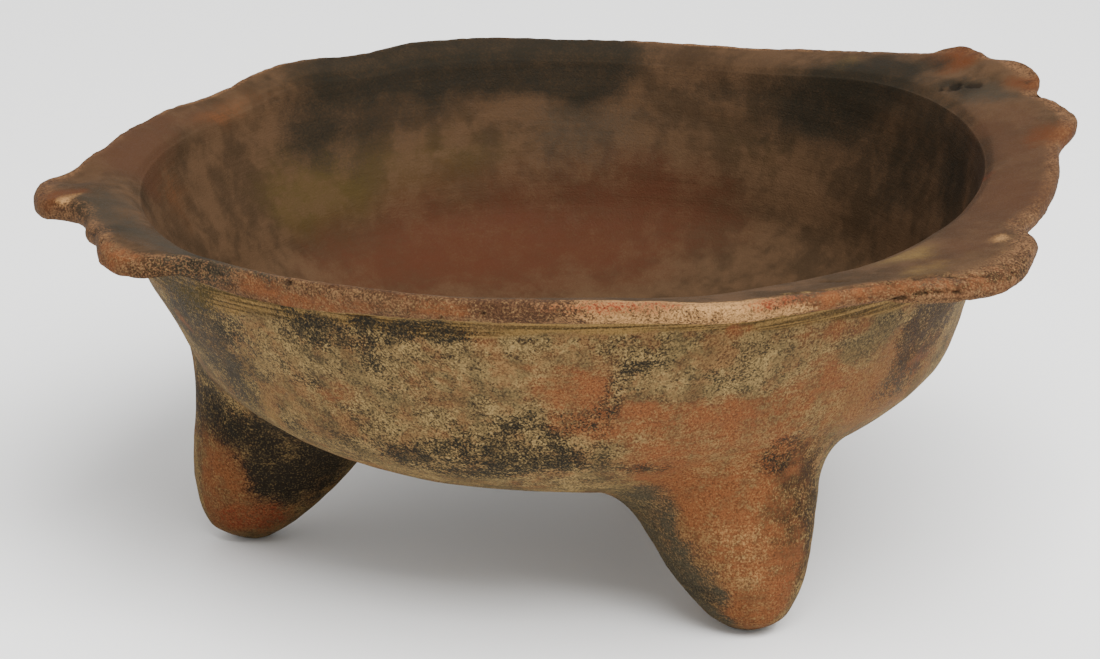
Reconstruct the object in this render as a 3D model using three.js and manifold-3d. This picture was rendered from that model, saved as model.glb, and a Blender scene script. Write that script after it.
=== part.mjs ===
// Tripod rattle bowl, hand-built in clay and fired: a round bowl with a flaring rim, lugs pinched
// out of the rim, and three hollow legs that each hold loose clay pellets. Millimetres, +Z up.
// The origin is on the ground, under the middle of the whole object.
import * as THREE from 'three';
import { mergeVertices } from 'three/addons/utils/BufferGeometryUtils.js';
import Module from 'manifold-3d';

const wasm = await Module();
wasm.setup();
const degree = Math.PI / 180;

// Bowl: a shallow rounded base that turns softly into a flaring wall
const undersideHeight = 26.2; // ground to the middle of the underside
const turnHeight = 49; // ground to the turn between base and wall
const turnRadius = 89.5; // outside of that turn
const wallTopHeight = 87; // ground to the joint under the rim
const wallFlare = 15.8; // outwards from the turn to that joint
const wallTopRadius = turnRadius + wallFlare; // outside of that joint
const wallThickness = 6.5;
const baseOffset = 3; // the base stands this far off the middle of the mouth, towards +X
const mouthTilt = 2 * degree; // the mouth rises towards +X
const bowlSteps = 64; // facets round the bowl
const bowlRows = 12; // facets from the middle of the underside to the joint

// Rim: a coil pressed on top of the wall and flared outwards
const mouthFlare = 1.2; // outwards from the wall's inner side, at the joint, to the rim's inner edge
const mouthRadius = wallTopRadius - wallThickness + mouthFlare; // to that edge
const mouthEdgeHeight = 5.3; // joint to the inner edge
const rimReach = 10; // inner edge to lip, where the rim is plain
const rimRise = 3; // inner edge up to the top of the lip, where the rim is plain
const lipThickness = 5.2;
const lipRounding = 1.6; // radius of the lip's worn edges
const jointGap = 0.3; // clay pieces stand this far apart at their joints
const rimSteps = 96;

// Lugs, lobes and nubs, drawn out of the rim: each one's reach beyond the lip, its width along
// the rim, and how far its tip lifts or droops
const lugRoot = 4; // how far each laps into the lip it grows from
const leftLugReach = 13;
const leftLugWidth = 50;
const leftLugDroop = 1.5;
const leftLobeReach = 7.5;
const leftLobeWidth = 30;
const rightLobeReach = 8.5;
const rightLobeWidth = 46;
const lobeDroop = 1;
const rightLugReach = 5.5;
const rightLugWidth = 46;
const rightLugLift = 1;
const rightNubReach = 5.5;
const rightNubWidth = 30;
const rightNubLift = 2.5;
const backNubReach = 5;
const backNubWidth = 22;
const backNubLift = 3;
const lugFacets = 22; // facets round an outline

// Legs
const legInset = 14.9; // inwards from the turn to the legs' tips
const legCircle = turnRadius - legInset; // middle of the legs to the tip of each
const legHeight = 47; // ground to where the leg dies into the wall
const legSpread = 14.7; // tip to the leg's outer side
const legSlope = 30.6; // tip to the leg's inner side, at the underside of the bowl
const legWall = 5;
const legTipThickness = 6; // clay under the hollow
const legSteps = 28;
const legAngles = [-56 * degree, -175.5 * degree, 64 * degree];
const legNames = ['front', 'left', 'back'];
const legSideShare = 0.89; // a leg's width sideways, as a share of its width inwards and outwards
const ventWidth = 2.5; // slit in the leg's inner side, which let steam out in the fire
const ventHeight = 13;
const ventMiddle = 16; // ground to the middle of the slit

// Pellets
const pelletRadius = 3.6; // the largest of each three
const pelletShares = [1, 0.92, 0.86];
const pelletGap = 0.3; // between pellets, and to the floor of the hollow
const pelletFacets = [10, 7]; // round and from pole to pole

// The base's outline: shares of the turn's radius and of the base's depth
const baseShares = [[0, 0], [0.32, 0.03], [0.54, 0.14], [0.73, 0.31], [0.88, 0.6], [1, 1]];
// The wall between turn and joint: shares of what it gains in radius and in height
const wallShares = [[0.3, 0.26], [0.6, 0.55], [1, 1]];

// The rim all round: angle in degrees, share of the reach, share of the rise
const rimShares = [
  [-180, 1.1, 0.9],
  [-165, 1.35, 0.85],
  [-154, 1.4, 0.8],
  [-144, 1, 0.8],
  [-135, 0.72, 0.9],
  [-120, 0.72, 1.05],
  [-105, 0.9, 1.05],
  [-90, 1.15, 1],
  [-82, 1.38, 0.85],
  [-73, 1.85, 0.5],
  [-64, 1.95, 0.4],
  [-45, 2.45, 0.2],
  [-33, 2.05, 0.4],
  [-25, 2, 0.6],
  [-12, 1.75, 1.1],
  [5, 1.8, 1.5],
  [20, 1.9, 1.8],
  [33, 1.7, 1.7],
  [45, 1.5, 1.1],
  [57, 1.3, 0.3],
  [68, 1.1, 0],
  [85, 1, 0.25],
  [91, 1, 0.35],
  [97, 1, 0.85],
  [112, 0.95, 1.35],
  [119, 0.95, 0.95],
  [130, 0.95, 1.6],
  [136, 1, 1.4],
  [143, 1, 0.8],
  [157, 1.1, 0.95],
  [167, 1.2, 1.1],
];

// A leg's sides by height: share of its height, shares of its outward and inward widths
const legShares = [
  [0, 0.27, 0.12],
  [0.03, 0.51, 0.21],
  [0.07, 0.71, 0.31],
  [0.13, 0.84, 0.43],
  [0.26, 0.97, 0.64],
  [0.39, 1.01, 0.82],
  [0.52, 1.01, 1],
  [0.62, 0.97, 1.17],
  [0.8, 0.93, 1.4],
  [1.08, 1, 1.5],
];

// Lug outlines: share of the way from root to tip, share of half the width
const beakShares = [
  [0, -1],
  [0.45, -0.62],
  [0.85, -0.5],
  [1, -0.2],
  [1, 0.2],
  [0.85, 0.5],
  [0.45, 0.62],
  [0, 1],
];
const lobeShares = [[0, -1], [0.6, -0.75], [1, -0.3], [1, 0.3], [0.6, 0.75], [0, 1]];
const pointShares = [[0, -1], [0.4, -0.62], [0.95, -0.22], [1, 0.15], [0.6, 0.55], [0, 1]];

// Each one's place on the rim, in degrees, and its own sizes
const lugs = [
  {
    name: 'lug_left',
    angle: -174.5,
    reach: leftLugReach,
    width: leftLugWidth,
    lift: -leftLugDroop,
    shares: beakShares,
  },
  {
    name: 'lobe_left',
    angle: -149,
    reach: leftLobeReach,
    width: leftLobeWidth,
    lift: -lobeDroop,
    shares: lobeShares,
  },
  {
    name: 'lobe_front_right',
    angle: -44,
    reach: rightLobeReach,
    width: rightLobeWidth,
    lift: -lobeDroop,
    shares: lobeShares,
  },
  {
    name: 'lug_right',
    angle: 5.5,
    reach: rightLugReach,
    width: rightLugWidth,
    lift: rightLugLift,
    shares: pointShares,
  },
  {
    name: 'nub_right',
    angle: 22,
    reach: rightNubReach,
    width: rightNubWidth,
    lift: rightNubLift,
    shares: lobeShares,
  },
  {
    name: 'nub_back_right',
    angle: 33,
    reach: backNubReach,
    width: backNubWidth,
    lift: backNubLift,
    shares: lobeShares,
  },
];

// Colours of the fired clay
const clayColours = { bowl: 0x8f7350, rim: 0x9c6a4c, lug: 0x8a5a40, leg: 0x9a5a3a, pellet: 0x8b6b4e };

function clay(colour) {
  return new THREE.MeshStandardMaterial({ color: colour, roughness: 0.75, metalness: 0 });
}

// The geometry as a solid that can be cut: only places, shared corners, no empty triangles
function solidOf(geometry) {
  const bare = geometry.clone();
  bare.deleteAttribute('normal');
  bare.deleteAttribute('uv');
  const joined = mergeVertices(bare);
  const corners = joined.index.array;
  const kept = [];
  for (let i = 0; i < corners.length; i += 3) {
    const [a, b, c] = corners.slice(i, i + 3);
    if (a !== b && b !== c && c !== a) kept.push(a, b, c);
  }
  return new wasm.Manifold(new wasm.Mesh({
    numProp: 3,
    vertProperties: new Float32Array(joined.attributes.position.array),
    triVerts: new Uint32Array(kept),
  }));
}

function geometryOf(solid) {
  const mesh = solid.getMesh();
  const geometry = new THREE.BufferGeometry();
  geometry.setAttribute('position', new THREE.BufferAttribute(new Float32Array(mesh.vertProperties), 3));
  geometry.setIndex(new THREE.BufferAttribute(new Uint32Array(mesh.triVerts), 1));
  geometry.computeVertexNormals();
  return geometry;
}

// A closed body swept round +Z: sectionAt(angle) gives its outline there as [radius, height] points
function swept(sectionAt, steps) {
  const places = [];
  const faces = [];
  const count = sectionAt(0).length;
  for (let step = 0; step < steps; step += 1) {
    const angle = (step / steps) * 2 * Math.PI;
    for (const [radius, height] of sectionAt(angle)) {
      places.push(radius * Math.cos(angle), radius * Math.sin(angle), height);
    }
    const next = (step + 1) % steps;
    for (let i = 0; i < count; i += 1) {
      const j = (i + 1) % count;
      const a = step * count + i;
      const b = step * count + j;
      const c = next * count + j;
      const d = next * count + i;
      faces.push(a, d, c, a, c, b);
    }
  }
  const geometry = new THREE.BufferGeometry();
  geometry.setAttribute('position', new THREE.Float32BufferAttribute(places, 3));
  geometry.setIndex(faces);
  return geometry;
}

function warped(geometry, move) {
  const places = geometry.attributes.position;
  const point = new THREE.Vector3();
  for (let i = 0; i < places.count; i += 1) {
    point.fromBufferAttribute(places, i);
    move(point);
    places.setXYZ(i, point.x, point.y, point.z);
  }
  return geometry;
}

// Reads a table of [position, share, ...] rows at any position, smoothly from row to row
function readShare(rows, position, column) {
  let i = 0;
  while (i < rows.length - 2 && rows[i + 1][0] < position) i += 1;
  const before = rows[Math.max(i - 1, 0)];
  const [from, to] = [rows[i], rows[i + 1]];
  const after = rows[Math.min(i + 2, rows.length - 1)];
  const span = to[0] - from[0];
  const t = (position - from[0]) / span;
  const slopeFrom = ((to[column] - before[column]) / (to[0] - before[0])) * span;
  const slopeTo = ((after[column] - from[column]) / (after[0] - from[0])) * span;
  const rest = 1 - t;
  return from[column] * (1 + 2 * t) * rest * rest + to[column] * t * t * (3 - 2 * t)
    + slopeFrom * t * rest * rest - slopeTo * t * t * rest;
}

// The rim's rows with one more turn on each side, so that its table can be read across the seam
const fullTurn = (2 * Math.PI) / degree;
const rimRows = [-fullTurn, 0, fullTurn].flatMap(
  (turn) => rimShares.map(([angle, ...shares]) => [angle + turn, ...shares]),
);

function reachAt(angle) {
  return rimReach * readShare(rimRows, angle / degree, 1);
}

function riseAt(angle) {
  return rimRise * readShare(rimRows, angle / degree, 2);
}

// The bowl is not quite true: its base stands off the mouth's middle, and its mouth tilts. The offset
// dies out from the turn up to the joint, and the tilt grows from the underside up to the joint.
function outOfTrue(geometry) {
  return warped(geometry, (point) => {
    const offsetShare = (wallTopHeight - point.z) / (wallTopHeight - turnHeight);
    const tiltShare = (point.z - undersideHeight) / (wallTopHeight - undersideHeight);
    point.z += Math.tan(mouthTilt) * point.x * THREE.MathUtils.clamp(tiltShare, 0, 1);
    point.x += baseOffset * THREE.MathUtils.clamp(offsetShare, 0, 1);
  });
}

// Outer outline of base and wall, from the axis to the joint
const outerCurve = new THREE.SplineCurve([
  ...baseShares.map(([radiusShare, heightShare]) => new THREE.Vector2(
    turnRadius * radiusShare,
    undersideHeight + (turnHeight - undersideHeight) * heightShare,
  )),
  ...wallShares.map(([radiusShare, heightShare]) => new THREE.Vector2(
    turnRadius + (wallTopRadius - turnRadius) * radiusShare,
    turnHeight + (wallTopHeight - turnHeight) * heightShare,
  )),
]);

// The outline moved inwards by a depth, or outwards where the depth is negative
function bowlOutline(depth) {
  const points = [];
  for (let row = 0; row <= bowlRows; row += 1) {
    const point = outerCurve.getPointAt(row / bowlRows);
    const along = outerCurve.getTangentAt(row / bowlRows);
    const radius = row === 0 ? 0 : point.x - along.y * depth;
    points.push([radius, point.y + along.x * depth]);
  }
  return points;
}

function bowlShell() {
  const section = [...bowlOutline(0), ...bowlOutline(wallThickness).reverse()];
  return outOfTrue(swept(() => section, bowlSteps));
}

// All the space from the bowl's outside to its axis, grown by the joint gap, to cut its neighbours
function bowlClearance() {
  const outline = bowlOutline(-jointGap);
  const top = wallTopHeight + mouthEdgeHeight + lipThickness;
  const section = [...outline, [outline.at(-1)[0], top], [0, top]];
  return solidOf(outOfTrue(swept(() => section, bowlSteps)));
}

// The rim's outline at an angle, grown by a margin on the side of the lip
function rimSection(angle, margin) {
  const along = outerCurve.getTangentAt(1);
  const seat = new THREE.Vector2(wallTopRadius, wallTopHeight).addScaledVector(along, jointGap);
  const inner = [seat.x - along.y * wallThickness, seat.y + along.x * wallThickness];
  const edge = wallTopHeight + mouthEdgeHeight;
  const lip = mouthRadius + reachAt(angle) + margin;
  const top = edge + riseAt(angle) + margin;
  const bottom = top - lipThickness - 2 * margin;
  const bevel = lipRounding;
  const half = bevel / 2;
  return [
    [seat.x, seat.y],
    [seat.x + half, seat.y + half],
    [lip - bevel, bottom],
    [lip - half / 2, bottom + bevel - half / 2],
    [lip, (top + bottom) / 2],
    [lip - half / 2, top - bevel + half / 2],
    [lip - bevel, top],
    [(lip + mouthRadius) / 2, (top + edge) / 2 + half / 2],
    [mouthRadius + bevel, edge + half / 2],
    [mouthRadius, edge - half],
    inner,
  ];
}

function rimCoil(margin) {
  return outOfTrue(swept((angle) => rimSection(angle, margin), rimSteps));
}

// The space that lugs stay out of: the rim grown by the joint gap, and all that lies inside its lip
function rimClearance() {
  const inside = outOfTrue(swept((angle) => {
    const lip = mouthRadius + reachAt(angle) - lipRounding;
    const top = wallTopHeight + mouthEdgeHeight + riseAt(angle) + lipThickness;
    return [[0, wallTopHeight - lipThickness], [lip, wallTopHeight - lipThickness], [lip, top], [0, top]];
  }, rimSteps));
  return solidOf(rimCoil(jointGap)).add(solidOf(inside));
}

// A slab with rounded edges on a flat outline: rings of the outline, drawn in at top and bottom,
// and grown all round by a margin
function roundedSlab(outline, thickness, margin) {
  const sum = outline.reduce((total, point) => total.add(point), new THREE.Vector3());
  const middle = sum.divideScalar(outline.length);
  const half = lipRounding / 2;
  const [bottomHeight, topHeight] = [-margin, thickness + margin];
  const rings = [
    [lipRounding, bottomHeight],
    [half / 2, bottomHeight + half],
    [0, thickness / 2],
    [half / 2, topHeight - half],
    [lipRounding, topHeight],
  ];
  const places = rings.flatMap(([inset, height]) => outline.flatMap((point) => {
    const outwards = point.clone().sub(middle);
    outwards.setLength(outwards.length() + margin - inset);
    return [middle.x + outwards.x, middle.y + outwards.y, height];
  }));
  const bottom = places.push(middle.x, middle.y, bottomHeight) / 3 - 1;
  const top = places.push(middle.x, middle.y, topHeight) / 3 - 1;
  const faces = [];
  const count = outline.length;
  for (let i = 0; i < count; i += 1) {
    const j = (i + 1) % count;
    const last = (rings.length - 1) * count;
    faces.push(bottom, j, i, top, last + i, last + j);
    for (let ring = 0; ring < last; ring += count) {
      faces.push(ring + i, ring + j, ring + count + j, ring + i, ring + count + j, ring + count + i);
    }
  }
  const geometry = new THREE.BufferGeometry();
  geometry.setAttribute('position', new THREE.Float32BufferAttribute(places, 3));
  geometry.setIndex(faces);
  return geometry;
}

// A lug is a slab that grows out of the lip and lifts or droops towards its tip
function lugSlab({ angle, reach, width, lift, shares }, margin) {
  const turn = angle * degree;
  const lip = mouthRadius + reachAt(turn);
  const root = lip - lugRoot;
  const corners = shares.map(([reachShare, widthShare]) => new THREE.Vector3(
    root + (reach + lugRoot) * reachShare,
    (width / 2) * widthShare,
    0,
  ));
  const outline = new THREE.CatmullRomCurve3(corners, true).getSpacedPoints(lugFacets).slice(0, lugFacets);
  const slab = roundedSlab(outline, lipThickness, margin);
  const base = wallTopHeight + mouthEdgeHeight + riseAt(turn) - lipThickness;
  warped(slab, (point) => {
    const out = THREE.MathUtils.clamp((point.x - root) / (reach + lugRoot), 0, 1);
    point.z += base + lift * out * out;
  });
  return outOfTrue(slab.rotateZ(turn));
}

// A leg or its hollow: rings that widen from a small flat tip and lean towards the bowl's axis
function legForm(tipHeight, spread, slope) {
  const rings = legShares.map(([heightShare, outShare, inShare]) => ({
    height: tipHeight + (legHeight - tipHeight) * heightShare,
    half: (spread * outShare + slope * inShare) / 2,
    middle: legCircle + (spread * outShare - slope * inShare) / 2,
  }));
  const middles = rings.map(({ height, middle }) => [height, middle]);
  const section = [
    [0, rings[0].height],
    ...rings.map(({ half, height }) => [half, height]),
    [0, rings.at(-1).height],
  ];
  return warped(swept(() => section, legSteps), (point) => {
    point.x += readShare(middles, point.z, 1);
    point.y *= legSideShare;
  });
}

function legBody(turn, clearance) {
  const vent = new THREE.BoxGeometry(legSlope, ventWidth, ventHeight);
  vent.translate(legCircle - legSlope / 2, 0, ventMiddle);
  const [outside, hollow, slit] = [legForm(0, legSpread, legSlope), legHollow(), vent].map(
    (geometry) => solidOf(geometry.rotateZ(turn)),
  );
  return outside.subtract(hollow).subtract(slit).subtract(clearance);
}

function legHollow() {
  return legForm(legTipThickness, legSpread - legWall, legSlope - legWall);
}

// Least distance from a point to the walls of a hollow
function distanceTo(walls, point) {
  const nearest = new THREE.Vector3();
  return Math.min(...walls.map((wall) => wall.closestPointToPoint(point, nearest).distanceTo(point)));
}

function wallsOf(geometry) {
  const places = geometry.attributes.position;
  const corners = geometry.index.array;
  const walls = [];
  for (let i = 0; i < corners.length; i += 3) {
    const [a, b, c] = [0, 1, 2].map((k) => new THREE.Vector3().fromBufferAttribute(places, corners[i + k]));
    walls.push(new THREE.Triangle(a, b, c));
  }
  return walls;
}

// Lowers a ball into the hollow until it lies the pellet gap above the floor
function restingHeight(walls, place, radius) {
  let low = legTipThickness;
  let high = legHeight / 2;
  const halvings = 30;
  for (let i = 0; i < halvings; i += 1) {
    const middle = (low + high) / 2;
    const clear = distanceTo(walls, new THREE.Vector3(place.x, place.y, middle)) >= radius + pelletGap;
    if (clear) high = middle;
    else low = middle;
  }
  return high;
}

const group = new THREE.Group();

function addPiece(name, geometry, colour) {
  const mesh = new THREE.Mesh(geometry, clay(colour));
  mesh.name = name;
  group.add(mesh);
  return mesh;
}

addPiece('bowl_body', bowlShell(), clayColours.bowl);
addPiece('rim_coil', rimCoil(0), clayColours.rim);

// Each lug stays clear of the rim and of the lugs before it
let taken = rimClearance();
for (const lug of lugs) {
  addPiece(lug.name, geometryOf(solidOf(lugSlab(lug, 0)).subtract(taken)), clayColours.lug);
  taken = taken.add(solidOf(lugSlab(lug, jointGap)));
}

const bowlSpace = bowlClearance();
const hollowWalls = wallsOf(geometryOf(solidOf(legHollow())));
legAngles.forEach((turn, i) => {
  addPiece(`leg_${legNames[i]}`, geometryOf(legBody(turn, bowlSpace)), clayColours.leg);
  const ring = (2 * pelletRadius + pelletGap) / Math.sqrt(3);
  pelletShares.forEach((share, k) => {
    const radius = pelletRadius * share;
    const spin = (k / pelletShares.length) * 2 * Math.PI;
    const place = new THREE.Vector3(legCircle + ring * Math.cos(spin), ring * Math.sin(spin), 0);
    place.z = restingHeight(hollowWalls, place, radius);
    const ball = new THREE.SphereGeometry(radius, ...pelletFacets);
    const pellet = addPiece(`pellet_${legNames[i]}_${k + 1}`, ball, clayColours.pellet);
    pellet.position.copy(place.applyAxisAngle(new THREE.Vector3(0, 0, 1), turn));
  });
});

// Stand the whole on its own middle
const middle = new THREE.Box3().setFromObject(group).getCenter(new THREE.Vector3());
group.position.set(-middle.x, -middle.y, 0);

export default group;
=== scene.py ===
# %% [markdown]
# # A tripod rattle bowl in burnished, fire-clouded earthenware
# The real bowl is built by hand from coils of clay, stood on three hollow legs that hold loose clay
# pellets, rubbed with a smooth stone, and fired in an open fire. This lesson dresses its packed
# model. The frame gives the sizes and places. Each piece is then modelled again, finely, where the
# frame says that it stands.

# %% Load the frame
import math

import bpy
import numpy as np
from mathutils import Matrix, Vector, noise
from mathutils.bvhtree import BVHTree
from mathutils.kdtree import KDTree


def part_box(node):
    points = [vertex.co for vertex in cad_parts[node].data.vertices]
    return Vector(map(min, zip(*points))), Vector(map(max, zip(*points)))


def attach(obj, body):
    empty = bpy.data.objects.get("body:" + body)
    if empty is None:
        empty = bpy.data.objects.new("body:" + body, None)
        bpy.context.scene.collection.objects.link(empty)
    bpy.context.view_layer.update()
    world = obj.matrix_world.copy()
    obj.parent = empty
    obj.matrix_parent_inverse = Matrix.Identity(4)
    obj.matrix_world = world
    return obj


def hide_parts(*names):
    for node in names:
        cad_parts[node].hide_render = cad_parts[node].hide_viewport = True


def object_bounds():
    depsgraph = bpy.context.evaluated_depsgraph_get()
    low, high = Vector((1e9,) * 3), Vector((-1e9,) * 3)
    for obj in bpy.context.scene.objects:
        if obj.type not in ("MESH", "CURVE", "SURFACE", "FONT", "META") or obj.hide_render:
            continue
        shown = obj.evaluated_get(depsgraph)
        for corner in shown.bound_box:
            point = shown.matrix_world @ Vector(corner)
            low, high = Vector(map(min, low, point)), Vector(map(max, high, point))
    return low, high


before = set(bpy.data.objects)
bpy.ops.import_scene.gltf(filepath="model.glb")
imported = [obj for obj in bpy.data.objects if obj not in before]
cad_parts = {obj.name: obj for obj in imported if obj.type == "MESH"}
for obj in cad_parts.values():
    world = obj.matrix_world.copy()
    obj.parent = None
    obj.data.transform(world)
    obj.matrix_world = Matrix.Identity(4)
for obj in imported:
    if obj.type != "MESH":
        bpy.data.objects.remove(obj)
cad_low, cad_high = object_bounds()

MM = 0.001
print("The frame is", [round(v / MM, 1) for v in cad_high - cad_low], "mm")

# %% [markdown]
# ## The camera
# The photograph was taken from a little above the rim, from far off with a long lens. The place,
# tilt and lens below put the mouth, the lip and the legs where they lie in the picture.

# %% Camera
CAMERA_PLACE = (-2.06, -998.17, 393.7)
CAMERA_TILT = 18.94
FOCAL_PIXELS = 4398
PICTURE_WIDTH = 1100
SENSOR_WIDTH = 36

bpy.ops.object.camera_add(
    location=[v * MM for v in CAMERA_PLACE],
    rotation=(math.radians(90 - CAMERA_TILT), 0, 0),
)
camera = bpy.context.object
camera.name = "camera"
camera.data.sensor_width = SENSOR_WIDTH
camera.data.lens = FOCAL_PIXELS / PICTURE_WIDTH * SENSOR_WIDTH
bpy.context.scene.camera = camera
print("The lens is", round(camera.data.lens), "mm long")

# %% [markdown]
# ## The section of the wall and rim
# A coiled bowl is nearly the same all round, so its wall is drawn once, as a section, and spun. The
# section runs from the middle of the underside up the outside, round the lip, and down the inside.
# A smoothed cage pulls away from its own points, so the cage is first pushed out until the smooth
# surface passes through the points that were meant.

# %% Points of the section, in millimetres: radius and height
WALL_THICKNESS = 6.5
OUTSIDE = [(0, 26.2), (24, 26.5), (48.3, 29.4), (65.3, 33.3), (78.8, 39.9), (89.5, 49),
           (94.2, 58.9), (99, 69.9), (102.6, 79), (105.3, 87)]
# The rim has a third number: how far a point follows the lip outwards
RIM = [(106.7, 88.6, 0.3), (108.7, 90.15, 1), (109.7, 91.2, 1), (110, 92.7, 1), (109.7, 94.2, 1),
       (108.6, 95.15, 1), (106, 94.6, 0.68), (103.1, 93.6, 0.35), (101, 92.4, 0.1), (99.85, 90.8, 0)]
# The upper side of the rim starts half way at this point of it
TOP_STARTS = 3
CAGE_ROUNDS = 12


def inner_side(points, depth):
    """The same line moved inwards, square to itself."""
    line = np.array(points, float)
    along = np.gradient(line, axis=0)
    along /= np.linalg.norm(along, axis=1)[:, None]
    moved = line + depth * np.stack([-along[:, 1], along[:, 0]], 1)
    moved[0, 0] = 0
    return moved


def cage_through(points):
    """Pushes a cage out until the smooth line that it makes passes through the points."""
    points = np.array(points, float)
    cage = points.copy()
    for _ in range(CAGE_ROUNDS):
        # A smooth line passes each corner of its cage at 1, 4 and 1 sixths of it and its neighbours
        smooth = (cage[:-2] + 4 * cage[1:-1] + cage[2:]) / 6
        cage[1:-1] += points[1:-1] - smooth
    return cage


inside = inner_side(OUTSIDE, WALL_THICKNESS)[::-1]
section = cage_through([*OUTSIDE, *[(r, h) for r, h, _ in RIM], *inside])
lip_shares = [0] * len(OUTSIDE) + [share for _, _, share in RIM] + [0] * len(inside)
rim_shares = [0] * len(OUTSIDE) + [1] * len(RIM) + [0] * len(inside)
top_shares = [0] * (len(OUTSIDE) + TOP_STARTS) + [0.5] + [1] * (len(RIM) - TOP_STARTS - 1 + len(inside))
print("The section has", len(section), "points")

# %% [markdown]
# ## Spinning the section
# A plane is merged to one vertex, the vertex is extruded from point to point, and the line is spun
# about the bowl's axis. Three vertex groups are painted on the line before the spin, so that every
# copy knows how far it follows the lip, whether it belongs to the rim, and whether it lies on the
# upper side. Subdivision then makes the cage fine enough to carry pits and cracks.

# %% Draw the line and spin it
SPIN_STEPS = 80
SMOOTH_LEVELS = 3
# Points nearer than this are one, where the spin meets its start
SAME_POINT = 0.01


def only(obj):
    """Selects this object and nothing else."""
    bpy.ops.object.select_all(action="DESELECT")
    obj.select_set(True)
    bpy.context.view_layer.objects.active = obj


def edit(obj, select="SELECT"):
    """Starts to edit this object with all of it selected, or nothing."""
    only(obj)
    bpy.ops.object.mode_set(mode="EDIT")
    bpy.ops.mesh.select_mode(type="VERT")
    bpy.ops.mesh.select_all(action=select)


def leave():
    """Ends the editing."""
    bpy.ops.object.mode_set(mode="OBJECT")


def apply(obj, kind, **settings):
    """Adds a modifier with its settings and applies it."""
    only(obj)
    modifier = obj.modifiers.new(kind.lower(), kind)
    for name, value in settings.items():
        setattr(modifier, name, value)
    bpy.ops.object.modifier_apply(modifier=modifier.name)


def paint_group(obj, name, weights):
    """Gives each point its weight in a new vertex group."""
    group = obj.vertex_groups.new(name=name)
    for i, weight in enumerate(weights):
        group.add([i], float(weight), "REPLACE")


def draw_line(name, points):
    """A line of edges in the plane of X and Z, extruded from one vertex. Points are in millimetres."""
    places = [Vector((r, 0, h)) * MM for r, h in points]
    bpy.ops.object.select_all(action="DESELECT")
    bpy.ops.mesh.primitive_plane_add(size=MM, location=(0, 0, 0))
    obj = bpy.context.object
    obj.name = name
    edit(obj)
    bpy.ops.mesh.merge(type="CENTER")
    bpy.ops.transform.translate(value=places[0])
    for here, there in zip(places, places[1:]):
        bpy.ops.mesh.extrude_vertices_move(TRANSFORM_OT_translate={"value": there - here})
    leave()
    return obj


wall = draw_line("wall", section)
paint_group(wall, "lip", lip_shares)
paint_group(wall, "rim", rim_shares)
paint_group(wall, "top", top_shares)
edit(wall)
bpy.ops.mesh.spin(steps=SPIN_STEPS, angle=2 * math.pi, center=(0, 0, 0), axis=(0, 0, 1))
bpy.ops.mesh.select_all(action="SELECT")
bpy.ops.mesh.remove_doubles(threshold=SAME_POINT * MM)
bpy.ops.mesh.normals_make_consistent(inside=False)
leave()
apply(wall, "SUBSURF", levels=SMOOTH_LEVELS, render_levels=SMOOTH_LEVELS)
print("The wall has", len(wall.data.vertices), "points")

# %% [markdown]
# ## Reading the lip from the frame
# The lip is far from round: the potter left it narrow at the front left, wide at the front right,
# and pinched lugs and nubs out of it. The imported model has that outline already, so it is felt
# from outside, in every direction, once for the plain rim and once with the lugs on it.

# %% Feel the lip's outline
MOUTH_MIDDLE = (0.7, 1.83)
MOUTH_TILT = math.tan(math.radians(2))
LIP_RADIUS, LIP_HEIGHT = 110, 92.7
EDGE_RADIUS, JOINT_RADIUS = 100, 105.3
PLAIN_RISE = 3
FOLLOW_FROM, OVERHANG = 68, 4
DIRECTIONS = 720
# From where, at which heights, and within what of the outermost point the lip is felt
FEEL_FROM = 160
FEEL_HEIGHTS = np.arange(86, 105, 0.4)
FEEL_DEPTH = 0.5
# How far each outline is softened, in directions
PLAIN_SPREAD, FULL_SPREAD = 4, 2
LUGS = ["lug_left", "lobe_left", "lobe_front_right", "lug_right", "nub_right", "nub_back_right"]


def tree_of(names):
    """A search tree over CAD nodes, in millimetres round the mouth's axis, with the tilt taken out."""
    corners, faces = [], []
    for name in names:
        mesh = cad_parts[name].data
        start = len(corners)
        for vertex in mesh.vertices:
            x, y = vertex.co.x / MM - MOUTH_MIDDLE[0], vertex.co.y / MM - MOUTH_MIDDLE[1]
            corners.append((x, y, vertex.co.z / MM - MOUTH_TILT * x))
        faces += [[start + i for i in polygon.vertices] for polygon in mesh.polygons]
    return BVHTree.FromPolygons(corners, faces)


def feel(names):
    """How far out these nodes reach in each direction, and how high the outermost point is."""
    tree = tree_of(names)
    found = []
    for turn in np.arange(DIRECTIONS) / DIRECTIONS * 2 * math.pi:
        away = Vector((math.cos(turn), math.sin(turn), 0))
        hits = []
        for height in FEEL_HEIGHTS:
            start = away * FEEL_FROM + Vector((0, 0, height))
            place, *_ = tree.ray_cast(start, -away, FEEL_FROM - EDGE_RADIUS)
            if place is not None:
                hits.append((math.hypot(place.x, place.y), place.z))
        reach = max(hits)[0]
        level = [z for r, z in hits if r > reach - FEEL_DEPTH]
        found.append((reach, sum(level) / len(level)))
    return np.array(found)


def softened(rows, spread):
    """Rounds off the facets of a ring of numbers."""
    steps = np.arange(-3 * spread, 3 * spread + 1)
    weights = np.exp(-0.5 * (steps / spread) ** 2)
    weights /= weights.sum()
    return sum(w * np.roll(rows, s, axis=0) for w, s in zip(weights, steps))


plain_lip = softened(feel(["rim_coil"]), PLAIN_SPREAD)
full_lip = softened(feel(["rim_coil", *LUGS]), FULL_SPREAD)
print("The plain lip reaches", plain_lip[:, 0].min().round(1), "to", plain_lip[:, 0].max().round(1), "mm")

# %% [markdown]
# ## Pulling the rim out to its outline
# Each point of the rim is pulled outwards by its share of the difference between the round lip and
# the real one, and lifted with it. Then the whole is made as untrue as the real bowl, whose base
# stands a little off the middle of its tilted mouth, and a few pushes fill out the lugs.

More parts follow.
